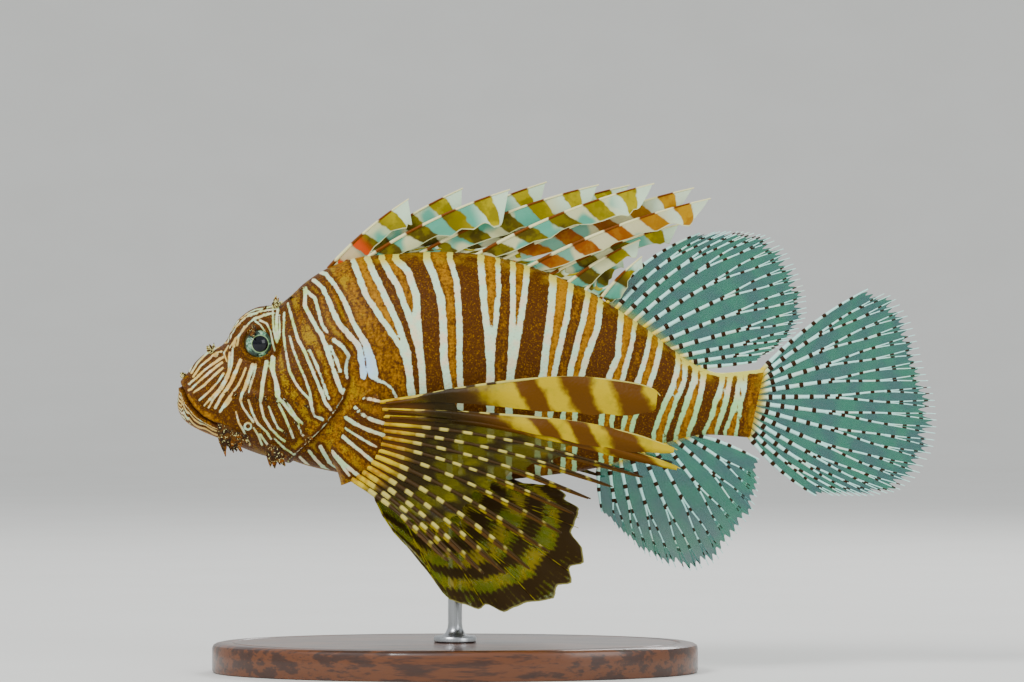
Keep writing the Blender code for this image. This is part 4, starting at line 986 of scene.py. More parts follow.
def stripe_values(places):
    """The markings of each place: how far inside a white stripe, how dark the brown, and so on."""
    x, y, z = places.T
    far = smooth_rise(y, 1.0, 9.0)
    x = x + far * (1.6 * np.sin(0.10 * z + 0.7) + 0.6 * np.sin(0.31 * z))
    z = z + far * 1.1 * np.sin(0.12 * x)
    stations, slopes = [], []
    for line in BODY_STRIPES:
        at, heights = np.array(line).T
        stations.append(np.interp(-z, -heights, at))
        ahead = np.interp(-z + 2.0, -heights, at) - np.interp(-z - 2.0, -heights, at)
        slopes.append(np.sqrt(1.0 + (ahead / 4.0) ** 2))
    stations = np.array(stations)
    widths = np.array(STRIPE_HALF_WIDTHS)[:, None] * (1.0 - 0.2 * smooth_rise(-z, 0.0, 14.0))
    white = (widths - np.abs(x - stations) / np.array(slopes)).max(axis=0)
    tone = np.array(BETWEEN_STRIPES)[(x > stations).sum(axis=0)]

    ahead = 1.0 - smooth_rise(x, 84.0, 92.0)
    for first, last, line in HEAD_LINES:
        distance, along = line_distance(x, z, line)
        inside = blend(first, last, along) - distance
        white = np.maximum(white, inside * ahead - (1.0 - ahead) * 9.0)
    ring = 0.36 - np.abs(np.hypot(x - 30.6, z + 10.8) - 1.4)
    white = np.maximum(white, ring)
    behind = x - gill_edge_station(z)
    cover_line = np.where((z < 6.0) & (x > 46.0), 0.24 - np.abs(behind + 1.3), -9.0)
    white = np.maximum(white, cover_line)
    gape = across_mouth(places)
    fine_lines = 0.34 * np.cos(2.0 * math.pi * (gape + 1.4 + 0.25 * np.sin(0.9 * x)) / 1.6)
    jaw_lines = np.where((gape < -1.2) & (x < 18.5) & (z > belly(x) + 0.6), fine_lines, -9.0)
    white = np.maximum(white, jaw_lines)
    edge = np.where(x > 212.0, 0.8 - np.abs(back(x) - z - 0.7), -9.0)
    white = np.maximum(white, edge)

    arc, _ = line_distance(x, z, ((84.6, 8.4), (87.8, 7.7), (90.8, 5.2), (93.4, 0.2)))
    white = np.maximum(white, 0.55 - arc)
    reach = np.hypot(x - LOBE_CENTRE[0], z - LOBE_CENTRE[1])
    angle = np.arctan2(z - LOBE_CENTRE[1], x - LOBE_CENTRE[0])
    proud = np.abs(y) - np.where(z > belly(x) + 0.5, skin_side(x, z), 0.0)
    on_lobe = smooth_rise(proud, 0.2, 1.0) * smooth_rise(reach, 6.0, 9.0)
    on_lobe = on_lobe * (angle < LOBE_TOP + 0.2)
    on_lobe = on_lobe * smooth_rise(x - gill_edge_station(z), -1.0, 0.5) * (x < 96.0)
    lobe_white = np.full(len(x), -9.0)
    for first, last, line in LOBE_LINES:
        distance, along = line_distance(x, z, line)
        lobe_white = np.maximum(lobe_white, blend(first, last, along) - distance)
    white = blend(white, lobe_white, on_lobe)
    tone = blend(tone, 0.62, on_lobe)

    top = back(x) - z
    jaw = 1.0 - smooth_rise(x, 17.0, 21.0)
    lower = smooth_rise(-gape, 0.5, 1.5) * jaw
    upper = jaw * hump(gape - 2.0, 1.6) * smooth_rise(x, 2.0, 5.0)
    tone = tone + 0.3 * (1.0 - smooth_rise(x, 40.0, 70.0))
    tone = tone * (1.0 - 0.5 * lower) * (1.0 - 0.4 * upper)
    # Painted shade in the mouth's slit and at the gill cover's stepped rim, and a dark line on the
    # lower cover just in front of its white line.
    slit_shade_and_lining = hump(behind + 0.2, 0.45) * (1.0 - smooth_rise(z, 6.0, 22.0)) * (x > 40.0)
    slit_shade_and_lining = np.maximum(slit_shade_and_lining, 0.8 * hump(behind + 2.4, 0.35) * (z < 4.0) * (x > 40.0))
    slit_shade_and_lining = np.maximum(slit_shade_and_lining, hump(gape, 0.5) * (1.0 - smooth_rise(x, 17.0, 18.5)))
    fine = 1.0 - smooth_rise(x, 52.0, 66.0)
    return {
        "white": white,
        "tone": tone,
        "fineness": np.maximum(fine, 0.5 * on_lobe),
        "yellow": np.maximum(
            (1.0 - smooth_rise(top, 2.0, 7.0)) * smooth_rise(x, 70.0, 84.0),
            1.0 - smooth_rise(tail_base_edge(z) - x, 2.0, 3.2),
        ),
        "green": smooth_rise(x, 120.0, 190.0) * (1.0 - smooth_rise(z, -2.0, 5.0)),
        "olive": (1.0 - smooth_rise(x, 70.0, 86.0)) * smooth_rise(x, 28.0, 44.0),
        "blue": np.exp(-(((x - 80.5) / 5.0) ** 2) - ((z - 15.0) / 8.0) ** 2),
        "slit_shade_and_lining": slit_shade_and_lining * 0.85,
    }


def make_skin(paint):
    bm = ellipse_loft()
    bmesh.ops.triangulate(bm, faces=bm.faces)
    bm = cut(bm, [pectoral_lobe(side) for side in (LEFT, RIGHT)], "UNION")
    soften_lobe_root(bm)
    bm.normal_update()
    places = np.array([vert.co[:] for vert in bm.verts])
    normals = np.array([vert.normal[:] for vert in bm.verts])
    values = stripe_values(places)
    shaped = shape_face(places, normals)
    names = list(values)
    layers = [bm.verts.layers.float.new(name) for name in names]
    columns = np.stack([values[name] for name in names], axis=1)
    for vert, place, row in zip(bm.verts, shaped, columns):
        vert.co = place
        for layer, value in zip(layers, row):
            vert[layer] = value
    (top_x, top_z), (foot_x, foot_z) = TAIL_BASE_TOP, TAIL_BASE_FOOT
    cut_normal = Vector((top_z - foot_z, 0.0, foot_x - top_x)).normalized()
    halves = bmesh.ops.bisect_plane(
        bm,
        geom=bm.verts[:] + bm.edges[:] + bm.faces[:],
        plane_co=Vector((foot_x, 0.0, foot_z)),
        plane_no=cut_normal,
        clear_outer=True,
    )
    rims = [item for item in halves["geom_cut"] if isinstance(item, bmesh.types.BMEdge)]
    bmesh.ops.holes_fill(bm, edges=rims, sides=0)
    bmesh.ops.triangulate(bm, faces=[face for face in bm.faces if len(face.verts) > 4])
    put_piece("fish_skin", bm, paint, ("head", "trunk", "tail_stem"), 60.0)


def make_eyes(paint):
    for side, name in SIDES:
        centre, axis, level, up = eye_frame(side, EYE_LOOK)
        bm = bmesh.new()
        bmesh.ops.create_uvsphere(bm, u_segments=72, v_segments=48, radius=EYE_RADIUS)
        off_axis = bm.verts.layers.float.new("off_axis")
        round_eye = bm.verts.layers.float.new("round_eye")
        for vert in bm.verts:
            local = vert.co.copy()
            lean = math.acos(max(-1.0, min(1.0, local.z / EYE_RADIUS)))
            turn = math.atan2(local.y, local.x)
            cornea = 0.35 * math.exp(-((lean / 0.5) ** 2))
            reach = EYE_RADIUS - 0.05 + cornea
            outward = math.sin(lean) * (math.cos(turn) * level + math.sin(turn) * up)
            vert.co = Vector(centre + reach * (outward + math.cos(lean) * axis))
            vert[off_axis] = lean
            vert[round_eye] = abs(turn)
        bmesh.ops.recalc_face_normals(bm, faces=bm.faces)
        put_piece(f"eyeball_{name}", bm, paint, (f"eye_{name}",))


# Fins.

SPINE_STEPS = 46
FLAG_COLUMNS, FLAG_ROWS = 8, 54
FLAG_FRILLS = 14
WEB_COLUMNS, WEB_ROWS = 8, 10
BLADE_COLUMNS, BLADE_ROWS = 10, 84
BLADE_FRILLS = 22
BLADE_RAY_STEPS = 110
FREE_RAY_STEPS = 70
FREE_RAY_BANDS = 9.0
STRIP_COLUMNS, STRIP_ROWS = 3, 40


def bowed(start, end, bow):
    """A ray from start to end that bows by a share of its length in side view."""
    start, end = Vector(start), Vector(end)
    along = end - start
    across = Vector((-along.z, 0.0, along.x))
    return lambda v: start + along * v + across * (4.0 * bow * v * (1.0 - v))


def chords(lines):
    return [(line(1.0) - line(0.0)).length for line in lines]


def upright(line, v):
    """The direction across a line in side view, upward where the line runs to the tail."""
    ahead = (line(min(v + 0.02, 1.0)) - line(max(v - 0.02, 0.0))).normalized()
    return Vector((-ahead.z, 0.0, ahead.x))


def ragged(frills, v):
    """A value of a ragged edge, between those of a list, by the share of the way along it."""
    at = v * (len(frills) - 1.01)
    first = int(at)
    return blend(frills[first], frills[min(first + 1, len(frills) - 1)], at - first)


def fan_place(lines):
    """Places on a fin by ray number, also between two rays, and share of a ray's length."""

    def place(u, v):
        u = min(max(u, 0.0), len(lines) - 1.0)
        first = min(int(u), len(lines) - 2)
        return lines[first](v).lerp(lines[first + 1](v), u - first)

    return place


def beads(dice, length, spacing, start=0.06):
    """Places of the dark beads along a ray."""
    found = []
    v = start + dice.uniform(0.0, 0.5) * spacing / length
    while v < 0.97:
        found.append(v)
        v += spacing * dice.uniform(0.75, 1.25) / length
    return found


def bead_mark(found, length, v, half):
    return max((math.exp(-(((v - spot) * length / half) ** 2)) for spot in found), default=0.0)


def branching_ray(bm, place, ray, length, sizes, splits, spread, spots, step=0.75, bead=0.95):
    """Adds one ray of a fin with its branches, thicker at each dark bead."""
    root, tip = sizes

    def stretch(start, end, first, last, share, shift):
        def at(t):
            v = blend(start, end, t)
            mark = bead_mark(spots, length, v + shift, bead)
            ease = t * t * (3.0 - 2.0 * t)
            radius = blend(root, tip, v) * share * (1.0 + 0.42 * mark)
            values = {"ray": 1.0, "mark": mark, "along": v, "across": ray}
            return place(blend(first, last, ease), v), radius, values

        add_rod(bm, max(3, int((end - start) * length / step)), at, 6, 0.75)

    def grow(start, u, level, share, shift):
        if level == len(splits):
            stretch(start, 1.0, u, u, share, shift)
            return
        end = splits[level]
        stretch(start, end, u, u, share, shift)
        for way in (-1.0, 1.0):
            gap = spread[level] * way
            after = splits[level + 1] if level + 1 < len(splits) else 1.0
            stretch(end - 0.01, after, u + 0.18 * gap, u + gap, share * 0.74, shift + 0.008 * way)
            if level + 1 < len(splits):
                for second in (-1.0, 1.0):
                    wide = spread[level + 1] * second
                    near, far = u + gap + 0.2 * wide, u + gap + wide
                    stretch(after - 0.01, 1.0, near, far, share * 0.55, shift + 0.008 * way)

    grow(0.0, float(ray), 0, 1.0, 0.0)


def soft_fin(name, lines, node, paint, splits, spread, seed, spacing=6.0, sizes=(0.92, 0.3)):
    """A fin of branched rays on a clear membrane, for the middle plane."""
    dice = random.Random(seed)
    place = fan_place(lines)
    rays = len(lines)
    lengths = chords(lines)
    bm = fish_mesh()
    spots = [beads(dice, length, spacing) for length in lengths]
    cells, rows = 24, 40
    ripple = [dice.uniform(0.0, 6.3) for _ in range(rays)]

    def edge(column):
        part = column / cells
        off = part - math.floor(part)
        fine = 0.022 * math.cos(8.0 * math.pi * (off - 0.125))
        scallop = fine + 0.012 * math.cos(2.0 * math.pi * off)
        frill = 0.008 * math.sin(3.0 * part * math.pi + ripple[int(part) % rays])
        return 0.945 + scallop + frill

    def film_place(column, row):
        v = edge(column) * row / rows
        return place(column / cells, v)

    def film_layers(column, row):
        v = edge(column) * row / rows
        near = round(column / cells)
        off = abs(column / cells - near)
        mark = bead_mark(spots[near], lengths[near], v, 1.25) * math.exp(-((off / 0.12) ** 2))
        mark *= v < splits[0]
        return {"along": row / rows, "across": column / cells, "mark": mark}

    add_film(bm, cells * (rays - 1), rows, film_place, film_layers, MEMBRANE)
    for ray in range(rays):
        own = () if ray in (0, rays - 1) else splits
        branching_ray(bm, place, ray, lengths[ray], sizes, own, spread, spots[ray])
    put_piece(name, bm, paint, (node,), 80.0)


def middle_lines(roots, margin, bow):
    rays = len(roots)
    lines = []
    for ray, (root_x, root_z) in enumerate(roots):
        part = ray / (rays - 1)
        tip_x, tip_z = margin(part)
        lines.append(bowed((root_x, 0.0, root_z), (tip_x, 0.0, tip_z), blend(*bow, part)))
    return lines


def tail_base_edge(z):
    (top_x, top_z), (foot_x, foot_z) = TAIL_BASE_TOP, TAIL_BASE_FOOT
    return foot_x + (top_x - foot_x) * (z - foot_z) / (top_z - foot_z)


def make_middle_fins(paint):
    stations = np.linspace(*SOFT_DORSAL_BASE, SOFT_DORSAL_RAYS)
    roots = [(x, float(back(x)) - 0.6) for x in stations]
    lines = middle_lines(roots, path_through(SOFT_DORSAL_MARGIN), (0.075, -0.01))
    soft_fin("soft_dorsal", lines, "dorsal_fin_soft", paint, (0.5, 0.8), (0.24, 0.11), 3)

    stations = np.linspace(*ANAL_BASE, ANAL_RAYS)
    roots = [(x, float(belly(x)) + 0.6) for x in stations]
    lines = middle_lines(roots, path_through(ANAL_MARGIN), (-0.03, 0.03))
    soft_fin("anal", lines, "anal_fin", paint, (0.45, 0.78), (0.24, 0.11), 5)

    heights = np.linspace(*TAIL_ROOTS, TAIL_RAYS)
    roots = [(tail_base_edge(z) - 0.8, z) for z in heights]
    lines = middle_lines(roots, path_through(TAIL_MARGIN), (0.045, -0.055))
    soft_fin("tail", lines, "tail_fin", paint, (0.40, 0.74), (0.25, 0.12), 8, 6.4, (0.95, 0.3))


def in_lane(line, lane):
    """Leans a spine of the back out of the middle plane, more the higher it stands."""

    def leaned(v):
        point = line(v)
        height = max(point.z - float(back(point.x)), 0.0)
        point.y = lane * LANE_REACH * math.tanh(height / LANE_REACH)
        return point

    return leaned


def make_spiny_dorsal(paint):
    dice = random.Random(21)
    bm = fish_mesh()
    spines = []
    for (root_x, (tip_x, tip_z)), lane in zip(zip(SPINE_ROOTS, SPINE_TIPS), SPINE_LANES):
        root = (root_x, 0.0, float(back(root_x)) - 0.5)
        spines.append(in_lane(bowed(root, (tip_x, 0.0, tip_z), SPINE_BOW), lane))
    lengths = chords(spines)

    def web_place(column, row):
        first = min(column // WEB_COLUMNS, len(spines) - 2)
        part = column / WEB_COLUMNS - first
        tall = WEB_HEIGHT * (1.0 - 0.55 * (1.0 - (2.0 * part - 1.0) ** 2))
        height = tall * row / WEB_ROWS
        low = spines[first](height / lengths[first])
        high = spines[first + 1](height / lengths[first + 1])
        return low.lerp(high, part)

    def web_layers(column, row):
        cloud = 0.5 + 0.5 * math.sin(0.9 * column) * math.cos(0.8 * row)
        return {"along": row / WEB_ROWS, "mark": cloud, "across": 0.4}

    columns = WEB_COLUMNS * (len(spines) - 1)
    add_film(bm, columns, WEB_ROWS, web_place, web_layers, BACK_WEB_THICKNESS)

    for number, (spine, length, flag) in enumerate(zip(spines, lengths, SPINE_FLAGS)):
        spread = curve_through(
            ((0.0, 3.0), (0.22, 9.0 if number == 0 else 7.5), (0.45, 4.2 + 0.36 * flag),
             (0.7, 0.85 * flag), (0.95, flag), (1.0, 0.9 * flag))
        )
        phase = dice.uniform(0.0, 1.0)
        frills = [dice.uniform(0.75, 1.05) for _ in range(FLAG_FRILLS)]
        warm = 1.0 if number == 0 else (0.32 if number in (7, 8) else 0.0)

        def banding(v):
            return 0.5 - 0.5 * math.cos(2.0 * math.pi * max((1.0 - v) * length - 4.5, 0.0) / 15.5)

        def flag_place(column, row):
            part = column / FLAG_COLUMNS
            v = 0.04 + 0.95 * row / FLAG_ROWS
            cut_back = 0.10 * part * max(v - 0.8, 0.0) / 0.2
            wide = float(spread(v)) * blend(1.0, ragged(frills, v), part)
            sway = 0.5 * math.sin(3.0 * part + 9.0 * v + phase * 6.0) * part
            return spine(v - cut_back) - upright(spine, v) * wide * part + Vector((0.0, sway, 0.0))

        def flag_layers(column, row):
            v = 0.04 + 0.95 * row / FLAG_ROWS
            part = column / FLAG_COLUMNS
            band = banding(v - 0.06 * part)
            warmth = warm * (1.0 - rise(v, 0.36, 0.48)) if number == 0 else warm
            return {
                "along": v,
                "across": part,
                "mark": blend(0.62, band, 0.7 + 0.3 * rise(v, 0.2, 0.5)),
                "warm": warmth,
            }

        add_film(bm, FLAG_COLUMNS, FLAG_ROWS, flag_place, flag_layers, FLAG_THICKNESS)

        def bone(v):
            values = {"ray": 1.0, "mark": banding(v) * 0.9, "along": v}
            return spine(v), blend(0.85, 0.3, v), values

        add_rod(bm, SPINE_STEPS, bone)
    put_piece("spiny_dorsal", bm, paint, ("dorsal_fin_spines",), 80.0)


def pectoral_lines(side):
    dice = random.Random(11)
    rays = len(PECTORAL_TIPS)
    lines = []
    for ray, (tip_x, tip_z) in enumerate(PECTORAL_TIPS):
        part = ray / (rays - 1)
        angle = PECTORAL_TOP + (PECTORAL_FOOT - PECTORAL_TOP) * part
        x = LOBE_CENTRE[0] + (LOBE_RADIUS - 1.2) * math.cos(angle)
        z = LOBE_CENTRE[1] + (LOBE_RADIUS - 1.2) * math.sin(angle)
        root = (x, side * lobe_side(x, z), z)
        if side == RIGHT:
            tip_x += dice.uniform(-4.0, 0.0)
            tip_z += dice.uniform(-2.5, 2.5)
        tip_y = side * blend(*PECTORAL_SPREAD, part)
        lines.append(bowed(root, (tip_x, tip_y, tip_z), 0.035 + PECTORAL_BOWS.get(ray, 0.0)))
    return lines


# Shares of a blade's full width along it: the first ends blunt, the others in a point.
BLUNT = (
    (0.0, 0.06), (0.12, 0.10), (0.28, 0.36), (0.45, 0.66), (0.6, 0.9), (0.72, 1.0), (0.84, 0.93),
    (0.93, 0.80), (0.98, 0.55), (1.0, 0.22),
)
POINTED = (
    (0.0, 0.08), (0.15, 0.16), (0.35, 0.45), (0.55, 0.82), (0.72, 1.0), (0.85, 0.80), (0.94, 0.42),
    (1.0, 0.06),
)


def add_blade(bm, line, length, above, below, bands, shape, seed, side):
    """A broad leaf along one of the upper rays, its stiff ray on the upper edge."""
    dice = random.Random(seed)
    frills = [dice.uniform(0.86, 1.06) for _ in range(BLADE_FRILLS)]
    blade_swell = curve_through(shape)

    def across_axis(v):
        return upright(line, v).normalized()

    def edges(v):
        swell = float(blade_swell(v))
        return 0.5 + above * swell, -(0.5 + below * swell * ragged(frills, v))

    def band_at(v, part):
        slanted = v - 0.06 * (1.0 - part)
        level = 0.0
        for centre, half in bands:
            level = max(level, 1.0 - abs(slanted - centre) / (2.0 * half))
        return level

    def place(column, row):
        v = 0.02 + 0.97 * row / BLADE_ROWS
        part = column / BLADE_COLUMNS
        top, foot = edges(v)
        cup = 0.9 * math.sin(math.pi * part) + 0.35 * math.sin(14.0 * v + 5.0 * part)
        return line(v) + across_axis(v) * blend(foot, top, part) + Vector((0.0, side * cup, 0.0))

    def layers(column, row):
        v = 0.02 + 0.97 * row / BLADE_ROWS
        part = column / BLADE_COLUMNS
        return {"along": v, "across": part, "mark": band_at(v, part), "warm": rise(v, 0.2, 0.5)}

    add_film(bm, BLADE_COLUMNS, BLADE_ROWS, place, layers, LEAF_THICKNESS)

    def stiff_ray(v):
        top, _ = edges(v)
        dash = 0.5 + 0.5 * math.sin(2.0 * math.pi * v * length / 9.0)
        values = {"ray": 1.0, "mark": blend(dash, 0.15, rise(v, 0.35, 0.5)), "along": v}
        return line(v) + across_axis(v) * (top - 0.3), blend(0.85, 0.22, v), values

    add_rod(bm, BLADE_RAY_STEPS, stiff_ray, 7, 0.8)


def add_free_ray(bm, line, ray, length, dice):
    """One of the lower rays of a pectoral fin, with the narrow strip that it keeps behind it."""
    stout = 1.0 + 0.4 * rise(ray, 6.0, 9.0)
    spots = beads(dice, length, FREE_RAY_BANDS)

    def pale_and_mark(v):
        pale = bead_mark(spots, length, v, 2.2)
        return pale, 1.0 - pale * (0.95 - 0.5 * rise(v, 0.5, 0.95))

    def bone(v):
        pale, mark = pale_and_mark(v)
        radius = blend(0.9, 0.3, v) * stout * (1.0 + 0.12 * pale)
        return line(v), radius, {"ray": 1.0, "mark": mark, "along": v}

    def strip_place(column, row):
        v = 0.45 + 0.54 * row / STRIP_ROWS
        wide = 1.9 * math.sin(math.pi * min(max((v - 0.4) / 0.62, 0.0), 1.0)) ** 0.6
        return line(v) - upright(line, v) * wide * (column / STRIP_COLUMNS)

    def strip_layers(column, row):
        v = 0.45 + 0.54 * row / STRIP_ROWS
        _, mark = pale_and_mark(int(FREE_RAY_STEPS * v) / FREE_RAY_STEPS)
        return {"along": v, "mark": mark, "warm": 0.5}

    add_rod(bm, FREE_RAY_STEPS, bone, 7, 0.8)
    add_film(bm, STRIP_COLUMNS, STRIP_ROWS, strip_place, strip_layers, MEMBRANE)


def make_pectorals(paint):
    for side, name in SIDES:
        lines = pectoral_lines(side)
        place = fan_place(lines)
        lengths = chords(lines)
        rays = len(lines)
        dice = random.Random(31)
        bm = fish_mesh()
        blades = (
            (0, 6.2, 8.6, ((0.22, 0.13), (0.52, 0.045), (0.69, 0.055), (0.87, 0.055)), BLUNT, 41),
            (1, 3.2, 5.0, ((0.26, 0.16), (0.52, 0.04), (0.65, 0.035), (0.79, 0.05)), POINTED, 42),
            (2, 1.2, 2.6, ((0.3, 0.2), (0.6, 0.06), (0.8, 0.08)), POINTED, 43),
        )
        for ray, above, below, bands, shape, seed in blades:
            add_blade(bm, lines[ray], lengths[ray], above, below, bands, shape, seed, side)
        webs = [0.26, 0.45, 0.66, 0.70, 0.66, 0.62, 0.58]
        webs += [0.52 + 0.05 * dice.random() for _ in range(rays - 8)]
        cells, rows = 10, 60

        def edge(column):
            gap = min(column // cells, rays - 2)
            off = column / cells - gap
            hug = abs(2.0 * off - 1.0) ** 7.0
            end = 0.97 if 0.5 > off or gap + 1 > 2 else 0.9
            return blend(webs[gap], end, hug)

        def film_place(column, row):
            v = edge(column) * row / rows
            u = column / cells
            point = place(u, v)
            point.y += side * 0.8 * math.sin(math.pi * (u % 1.0)) * v
            return point

        def film_layers(column, row):
            v = edge(column) * row / rows
            u = column / cells
            band = 0.5 + 0.5 * math.sin(2.0 * math.pi * (v * 4.6 + 0.1 * math.sin(2.1 * u)))
            near_ray = abs(2.0 * (u % 1.0) - 1.0) ** 2.0
            return {
                "along": v,
                "across": u,
                "mark": blend(0.75, 0.55 * band + 0.45 * near_ray, rise(v, 0.15, 0.4)),
            }

        add_film(bm, cells * (rays - 1), rows, film_place, film_layers, MEMBRANE)
        for ray in range(3, rays):
            add_free_ray(bm, lines[ray], ray, lengths[ray], dice)
        put_piece(f"pectoral_{name}", bm, paint, (f"pectoral_fin_{name}",), 80.0)


def shorter(line, share):
    return lambda v: line(share * v)


def make_pelvics(paint):
    rays = len(PELVIC_TIPS)
    for side, name in SIDES:
        dice = random.Random(51)
        lines = []
        for ray, (tip_x, tip_z) in enumerate(PELVIC_TIPS):
            part = ray / (rays - 1)
            x = blend(*PELVIC_BASE, part)
            y = side * PELVIC_SIDE
            root = (x, y, skin_foot(x, y) + 0.6)
            swing = 3.0 * part if side == RIGHT else 0.0
            tip = (tip_x - swing, side * (PELVIC_SPREAD - 3.0 * part), tip_z)
            lines.append(bowed(root, tip, PELVIC_BOWS[ray]))
        place = fan_place(lines)
        lengths = chords(lines)
        bm = fish_mesh()
        cells, rows = 14, 70
        frill = [dice.uniform(-0.06, 0.015) for _ in range(rays * 4)]

        def edge(column):
            u = column / cells
            at = u * 4.0
            i = int(at)
            after = rise(at, i, i + 1)
            return 0.975 + blend(frill[i], frill[min(i + 1, rays * 4 - 1)], after)

        def bands(u, v):
            wave = v * v * 4.1 + 0.12 * math.sin(1.9 * u + 2.0 * v) + 0.12
            return max(0.5 + 0.5 * math.sin(2.0 * math.pi * wave), rise(v, 0.84, 0.9) * 0.8)

        def film_place(column, row):
            u, v = column / cells, edge(column) * row / rows
            point = place(u, v)
            point.y += side * 0.9 * math.sin(2.0 * math.pi * u + 0.8) * v * v
            return point

        def film_layers(column, row):
            u, v = column / cells, edge(column) * row / rows
            return {"along": row / rows, "across": u, "mark": bands(u, v)}

        add_film(bm, cells * (rays - 1), rows, film_place, film_layers, LEAF_THICKNESS)
        for ray in range(rays):
            spots = beads(dice, lengths[ray], 7.5, 0.1)
            inner = fan_place([shorter(line, 0.955) for line in lines])
            splits = () if ray in (0, rays - 1) else (0.3, 0.6)
            branching_ray(
                bm, inner, ray, lengths[ray], (0.6, 0.24), splits, (0.22, 0.11), spots, 1.0, 1.8
            )
        put_piece(f"pelvic_{name}", bm, paint, (f"pelvic_fin_{name}",), 80.0)


# Skin flaps and bony points of the head. Each flap: root x, z, tip x, z, width, how far its tip
# stands out, number of lobes. Each point: root x, z, length, heading in degrees.

FLAPS = (
    (3.6, 9.6, 1.2, 11.8, 1.6, 0.2, 3),
    (15.2, 19.6, 12.8, 24.2, 2.0, 0.4, 3),
    (30.4, 31.2, 35.0, 27.4, 5.0, 6.4, 4),
    (40.6, 38.2, 43.8, 43.0, 1.6, 0.8, 2),
    (18.6, -8.6, 26.4, -22.4, 5.6, 2.2, 12),
    (21.0, -11.0, 30.0, -20.6, 5.0, 2.6, 9),
    (39.5, -18.0, 44.0, -28.6, 5.6, 2.0, 11),
    (54.6, -13.6, 57.6, -18.6, 3.2, 1.4, 6),
)
THORNS = (
    (22.5, 3.4, 1.5, 200.0), (26.5, 3.0, 1.3, 215.0), (30.5, 2.4, 1.6, 230.0),
    (34.5, 2.0, 1.3, 245.0), (38.5, 1.8, 1.6, 260.0), (42.5, 1.4, 1.4, 275.0),
    (46.5, 0.8, 1.7, 290.0), (51.0, -0.4, 1.5, 305.0), (55.0, -1.8, 1.8, 320.0),
    (50.0, -8.4, 2.4, 318.0), (45.5, -12.6, 2.4, 305.0), (37.0, 38.0, 1.5, 60.0),
    (47.5, 42.0, 1.8, 55.0), (52.5, 46.0, 1.8, 50.0),
)
LOBE_STEPS = 12


def make_flaps(paint):
    dice = random.Random(61)
    bm = fish_mesh()
    for side in (LEFT, RIGHT):
        for root_x, root_z, tip_x, tip_z, width, stand_out, lobes in FLAPS:
            root_y = float(skin_side(root_x, root_z))
            inside = belly(tip_x) + 1.0 < tip_z < back(tip_x) - 1.0
            tip_y = float(skin_side(tip_x, tip_z)) if inside else 0.85 * root_y
            root = Vector((root_x, side * (root_y - 0.8), root_z))
            along = Vector((tip_x, side * (tip_y + stand_out), tip_z)) - root
            for lobe in range(lobes):
                turn = (lobe - 0.5 * (lobes - 1)) * 0.95 / lobes
                swing = Vector(
                    (
                        along.x * math.cos(turn) - along.z * math.sin(turn),
                        along.y + side * dice.uniform(0.0, 1.6),
                        along.x * math.sin(turn) + along.z * math.cos(turn),
                    )
                )
                reach = dice.uniform(0.62, 1.0)
                curl_x, curl_y = dice.uniform(-1, 1), side * dice.uniform(0, 1)
                curl = Vector((curl_x, curl_y, dice.uniform(-1, 1)))
                wide = width * dice.uniform(0.32, 0.5) * (1.3 if lobes < 4 else 0.75)

                def lobe_at(t):
                    body = 0.45 + 0.55 * math.sin(math.pi * min(t * 1.15, 1.0)) ** 0.8
                    body *= wide * (1.0 + dice.uniform(-0.18, 0.18)) * (1.0 - 0.75 * t**6)
                    values = {"along": t, "mark": 1.0 if lobes < 4 else 0.0}
                    point = root + swing * (reach * t) + curl * (0.7 * t * t)
                    return point, max(body, 0.08), values

                add_rod(bm, LOBE_STEPS, lobe_at, 7, min(0.32 / wide, 1.0))
        for x, z, length, heading in THORNS:
            root_y = float(skin_side(x, z))
            turn = math.radians(heading)
            way = Vector((math.cos(turn), 0.9 * side, math.sin(turn))).normalized()
            root = Vector((x, side * (root_y - 1.2), z))
            path = [root + way * ((1.2 + length) * i / 4) for i in range(5)]
            tube(bm, path, [0.9, 0.75, 0.55, 0.32, 0.06], 7, 1.0, None, Vector((0.0, 0.3, 1.0)))
    put_piece("head_flaps", bm, paint, (), 50.0)


# The stand, the floor, the light and the camera. The camera and the light are in metres.

BASE_LENGTH, BASE_WIDTH = 204.0, 124.0
BASE_SEGMENTS = 160
ROD_SEGMENTS = 64
FLOOR_SEGMENTS = 96
FLOOR_RADIUS = 3000.0
SWEEP_RADIUS = 1800.0
SWEEP_TURN = 1.15
LENS = 170.0
SENSOR_WIDTH = 36.0
VIEW_WIDTH = 0.430
VIEW_CENTRE = (0.0239, 0.139)
LIGHT_AIM = (0.02, 0.0, 0.12)
SKY_STRENGTH = 0.85

# Each light: its place, its size, its power and its colour.
LIGHTS = {
    "key": ((-0.9, -1.3, 1.5), (0.8, 0.6), 34.0, (1.0, 1.0, 1.0)),
    "fill": ((1.3, -1.1, 0.7), (0.8, 0.8), 8.0, (0.95, 0.98, 1.0)),
    "rim": ((0.5, 1.2, 1.1), (0.8, 0.5), 12.0, (1.0, 1.0, 1.0)),
}


def turned(profile, segments):
    """A body of revolution about Z from (radius, height) places that start and end on the axis."""
    bm = bmesh.new()
    verts = [bm.verts.new((radius, 0.0, height)) for radius, height in profile]
    for first, second in zip(verts, verts[1:]):
        bm.edges.new((first, second))
    bmesh.ops.spin(
        bm, geom=bm.verts[:] + bm.edges[:], cent=(0, 0, 0), axis=(0, 0, 1),
        angle=2.0 * math.pi, steps=segments, use_merge=True,
    )
    bmesh.ops.remove_doubles(bm, verts=bm.verts, dist=WELD)
    bmesh.ops.recalc_face_normals(bm, faces=bm.faces)
    return bm


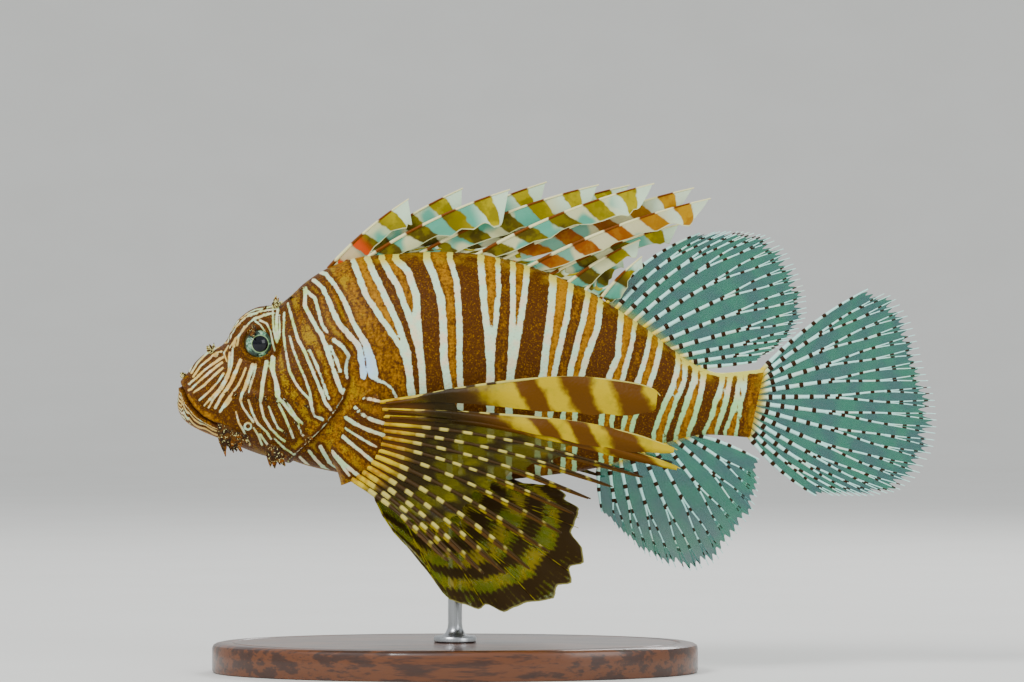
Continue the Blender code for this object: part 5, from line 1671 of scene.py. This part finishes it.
def make_stand(wood, steel):
    base = turned(
        ((0.0, 0.0), (61.2, 0.0), (61.8, 0.3), (62.0, 0.9), (62.0, 10.4), (61.7, 11.5),
         (61.0, 12.2), (59.8, 12.6), (57.6, 12.6), (57.2, 12.2), (56.6, 12.2), (56.2, 12.6),
         (0.0, 12.6)),
        BASE_SEGMENTS,
    )
    bmesh.ops.scale(base, vec=(BASE_LENGTH / BASE_WIDTH, 1.0, 1.0), verts=base.verts)
    bmesh.ops.translate(base, vec=(ROD_STATION, 0.0, -AXIS_HEIGHT), verts=base.verts)
    put_piece("display_base", base, wood, ("stand_base",), 30.0)
    top = AXIS_HEIGHT + float(belly(ROD_STATION)) + 0.6
    support = turned(
        ((0.0, 12.7), (8.6, 12.7), (9.0, 13.1), (9.0, 14.5), (8.6, 15.1), (5.4, 15.6), (4.0, 16.6),
         (3.2, 18.4), (3.0, 20.4), (3.0, top - 4.0), (3.0, top), (0.0, top)),
        ROD_SEGMENTS,
    )
    bmesh.ops.translate(support, vec=(ROD_STATION, 0.0, -AXIS_HEIGHT), verts=support.verts)
    put_piece("display_rod", support, steel, ("stand_rod",), 40.0)


def make_floor(paint):
    """A round studio floor whose edge sweeps up, so that it has no horizon."""
    sweep = [
        (FLOOR_RADIUS + SWEEP_RADIUS * math.sin(t), SWEEP_RADIUS * (1.0 - math.cos(t)))
        for t in np.linspace(0.0, SWEEP_TURN, 14)
    ]
    bm = turned(((0.0, 0.0), *sweep), FLOOR_SEGMENTS)
    bmesh.ops.scale(bm, vec=(MM, MM, MM), verts=bm.verts)
    bmesh.ops.reverse_faces(bm, faces=[face for face in bm.faces if face.normal.z < 0.0])
    floor = mesh_object("studio_floor", bm)
    floor.data.shade_smooth()
    floor.data.materials.append(paint)


def make_light(name, place, size, power, colour):
    data = bpy.data.lights.new(name, "AREA")
    data.shape = "RECTANGLE"
    data.size, data.size_y = size
    data.energy = power
    data.color = colour
    light = new_object(name, data)
    light.location = place
    aim = Vector(LIGHT_AIM) - Vector(place)
    light.rotation_euler = aim.to_track_quat("-Z", "Y").to_euler()


def make_camera():
    data = bpy.data.cameras.new("camera")
    data.lens = LENS
    data.sensor_width = SENSOR_WIDTH
    camera = new_object("camera", data)
    camera.location = (VIEW_CENTRE[0], -data.lens / data.sensor_width * VIEW_WIDTH, VIEW_CENTRE[1])
    camera.rotation_euler = (math.radians(90.0), 0.0, 0.0)
    bpy.context.scene.camera = camera


def make_world():
    world = bpy.data.worlds.new("studio")
    world.use_nodes = True
    inputs = world.node_tree.nodes["Background"].inputs
    inputs["Color"].default_value = (0.93, 0.95, 0.97, 1.0)
    inputs["Strength"].default_value = SKY_STRENGTH
    bpy.context.scene.world = world


make_camera()
make_world()
make_floor(floor_paint())
for light_name, light_values in LIGHTS.items():
    make_light(light_name, *light_values)
make_skin(skin_paint())
make_eyes(eye_paint())
make_flaps(flap_paint())
make_middle_fins(clear_fin_paint())
make_spiny_dorsal(spine_paint())
make_pectorals(pectoral_paint())
make_pelvics(pelvic_paint())
make_stand(wood_paint(), steel_paint())
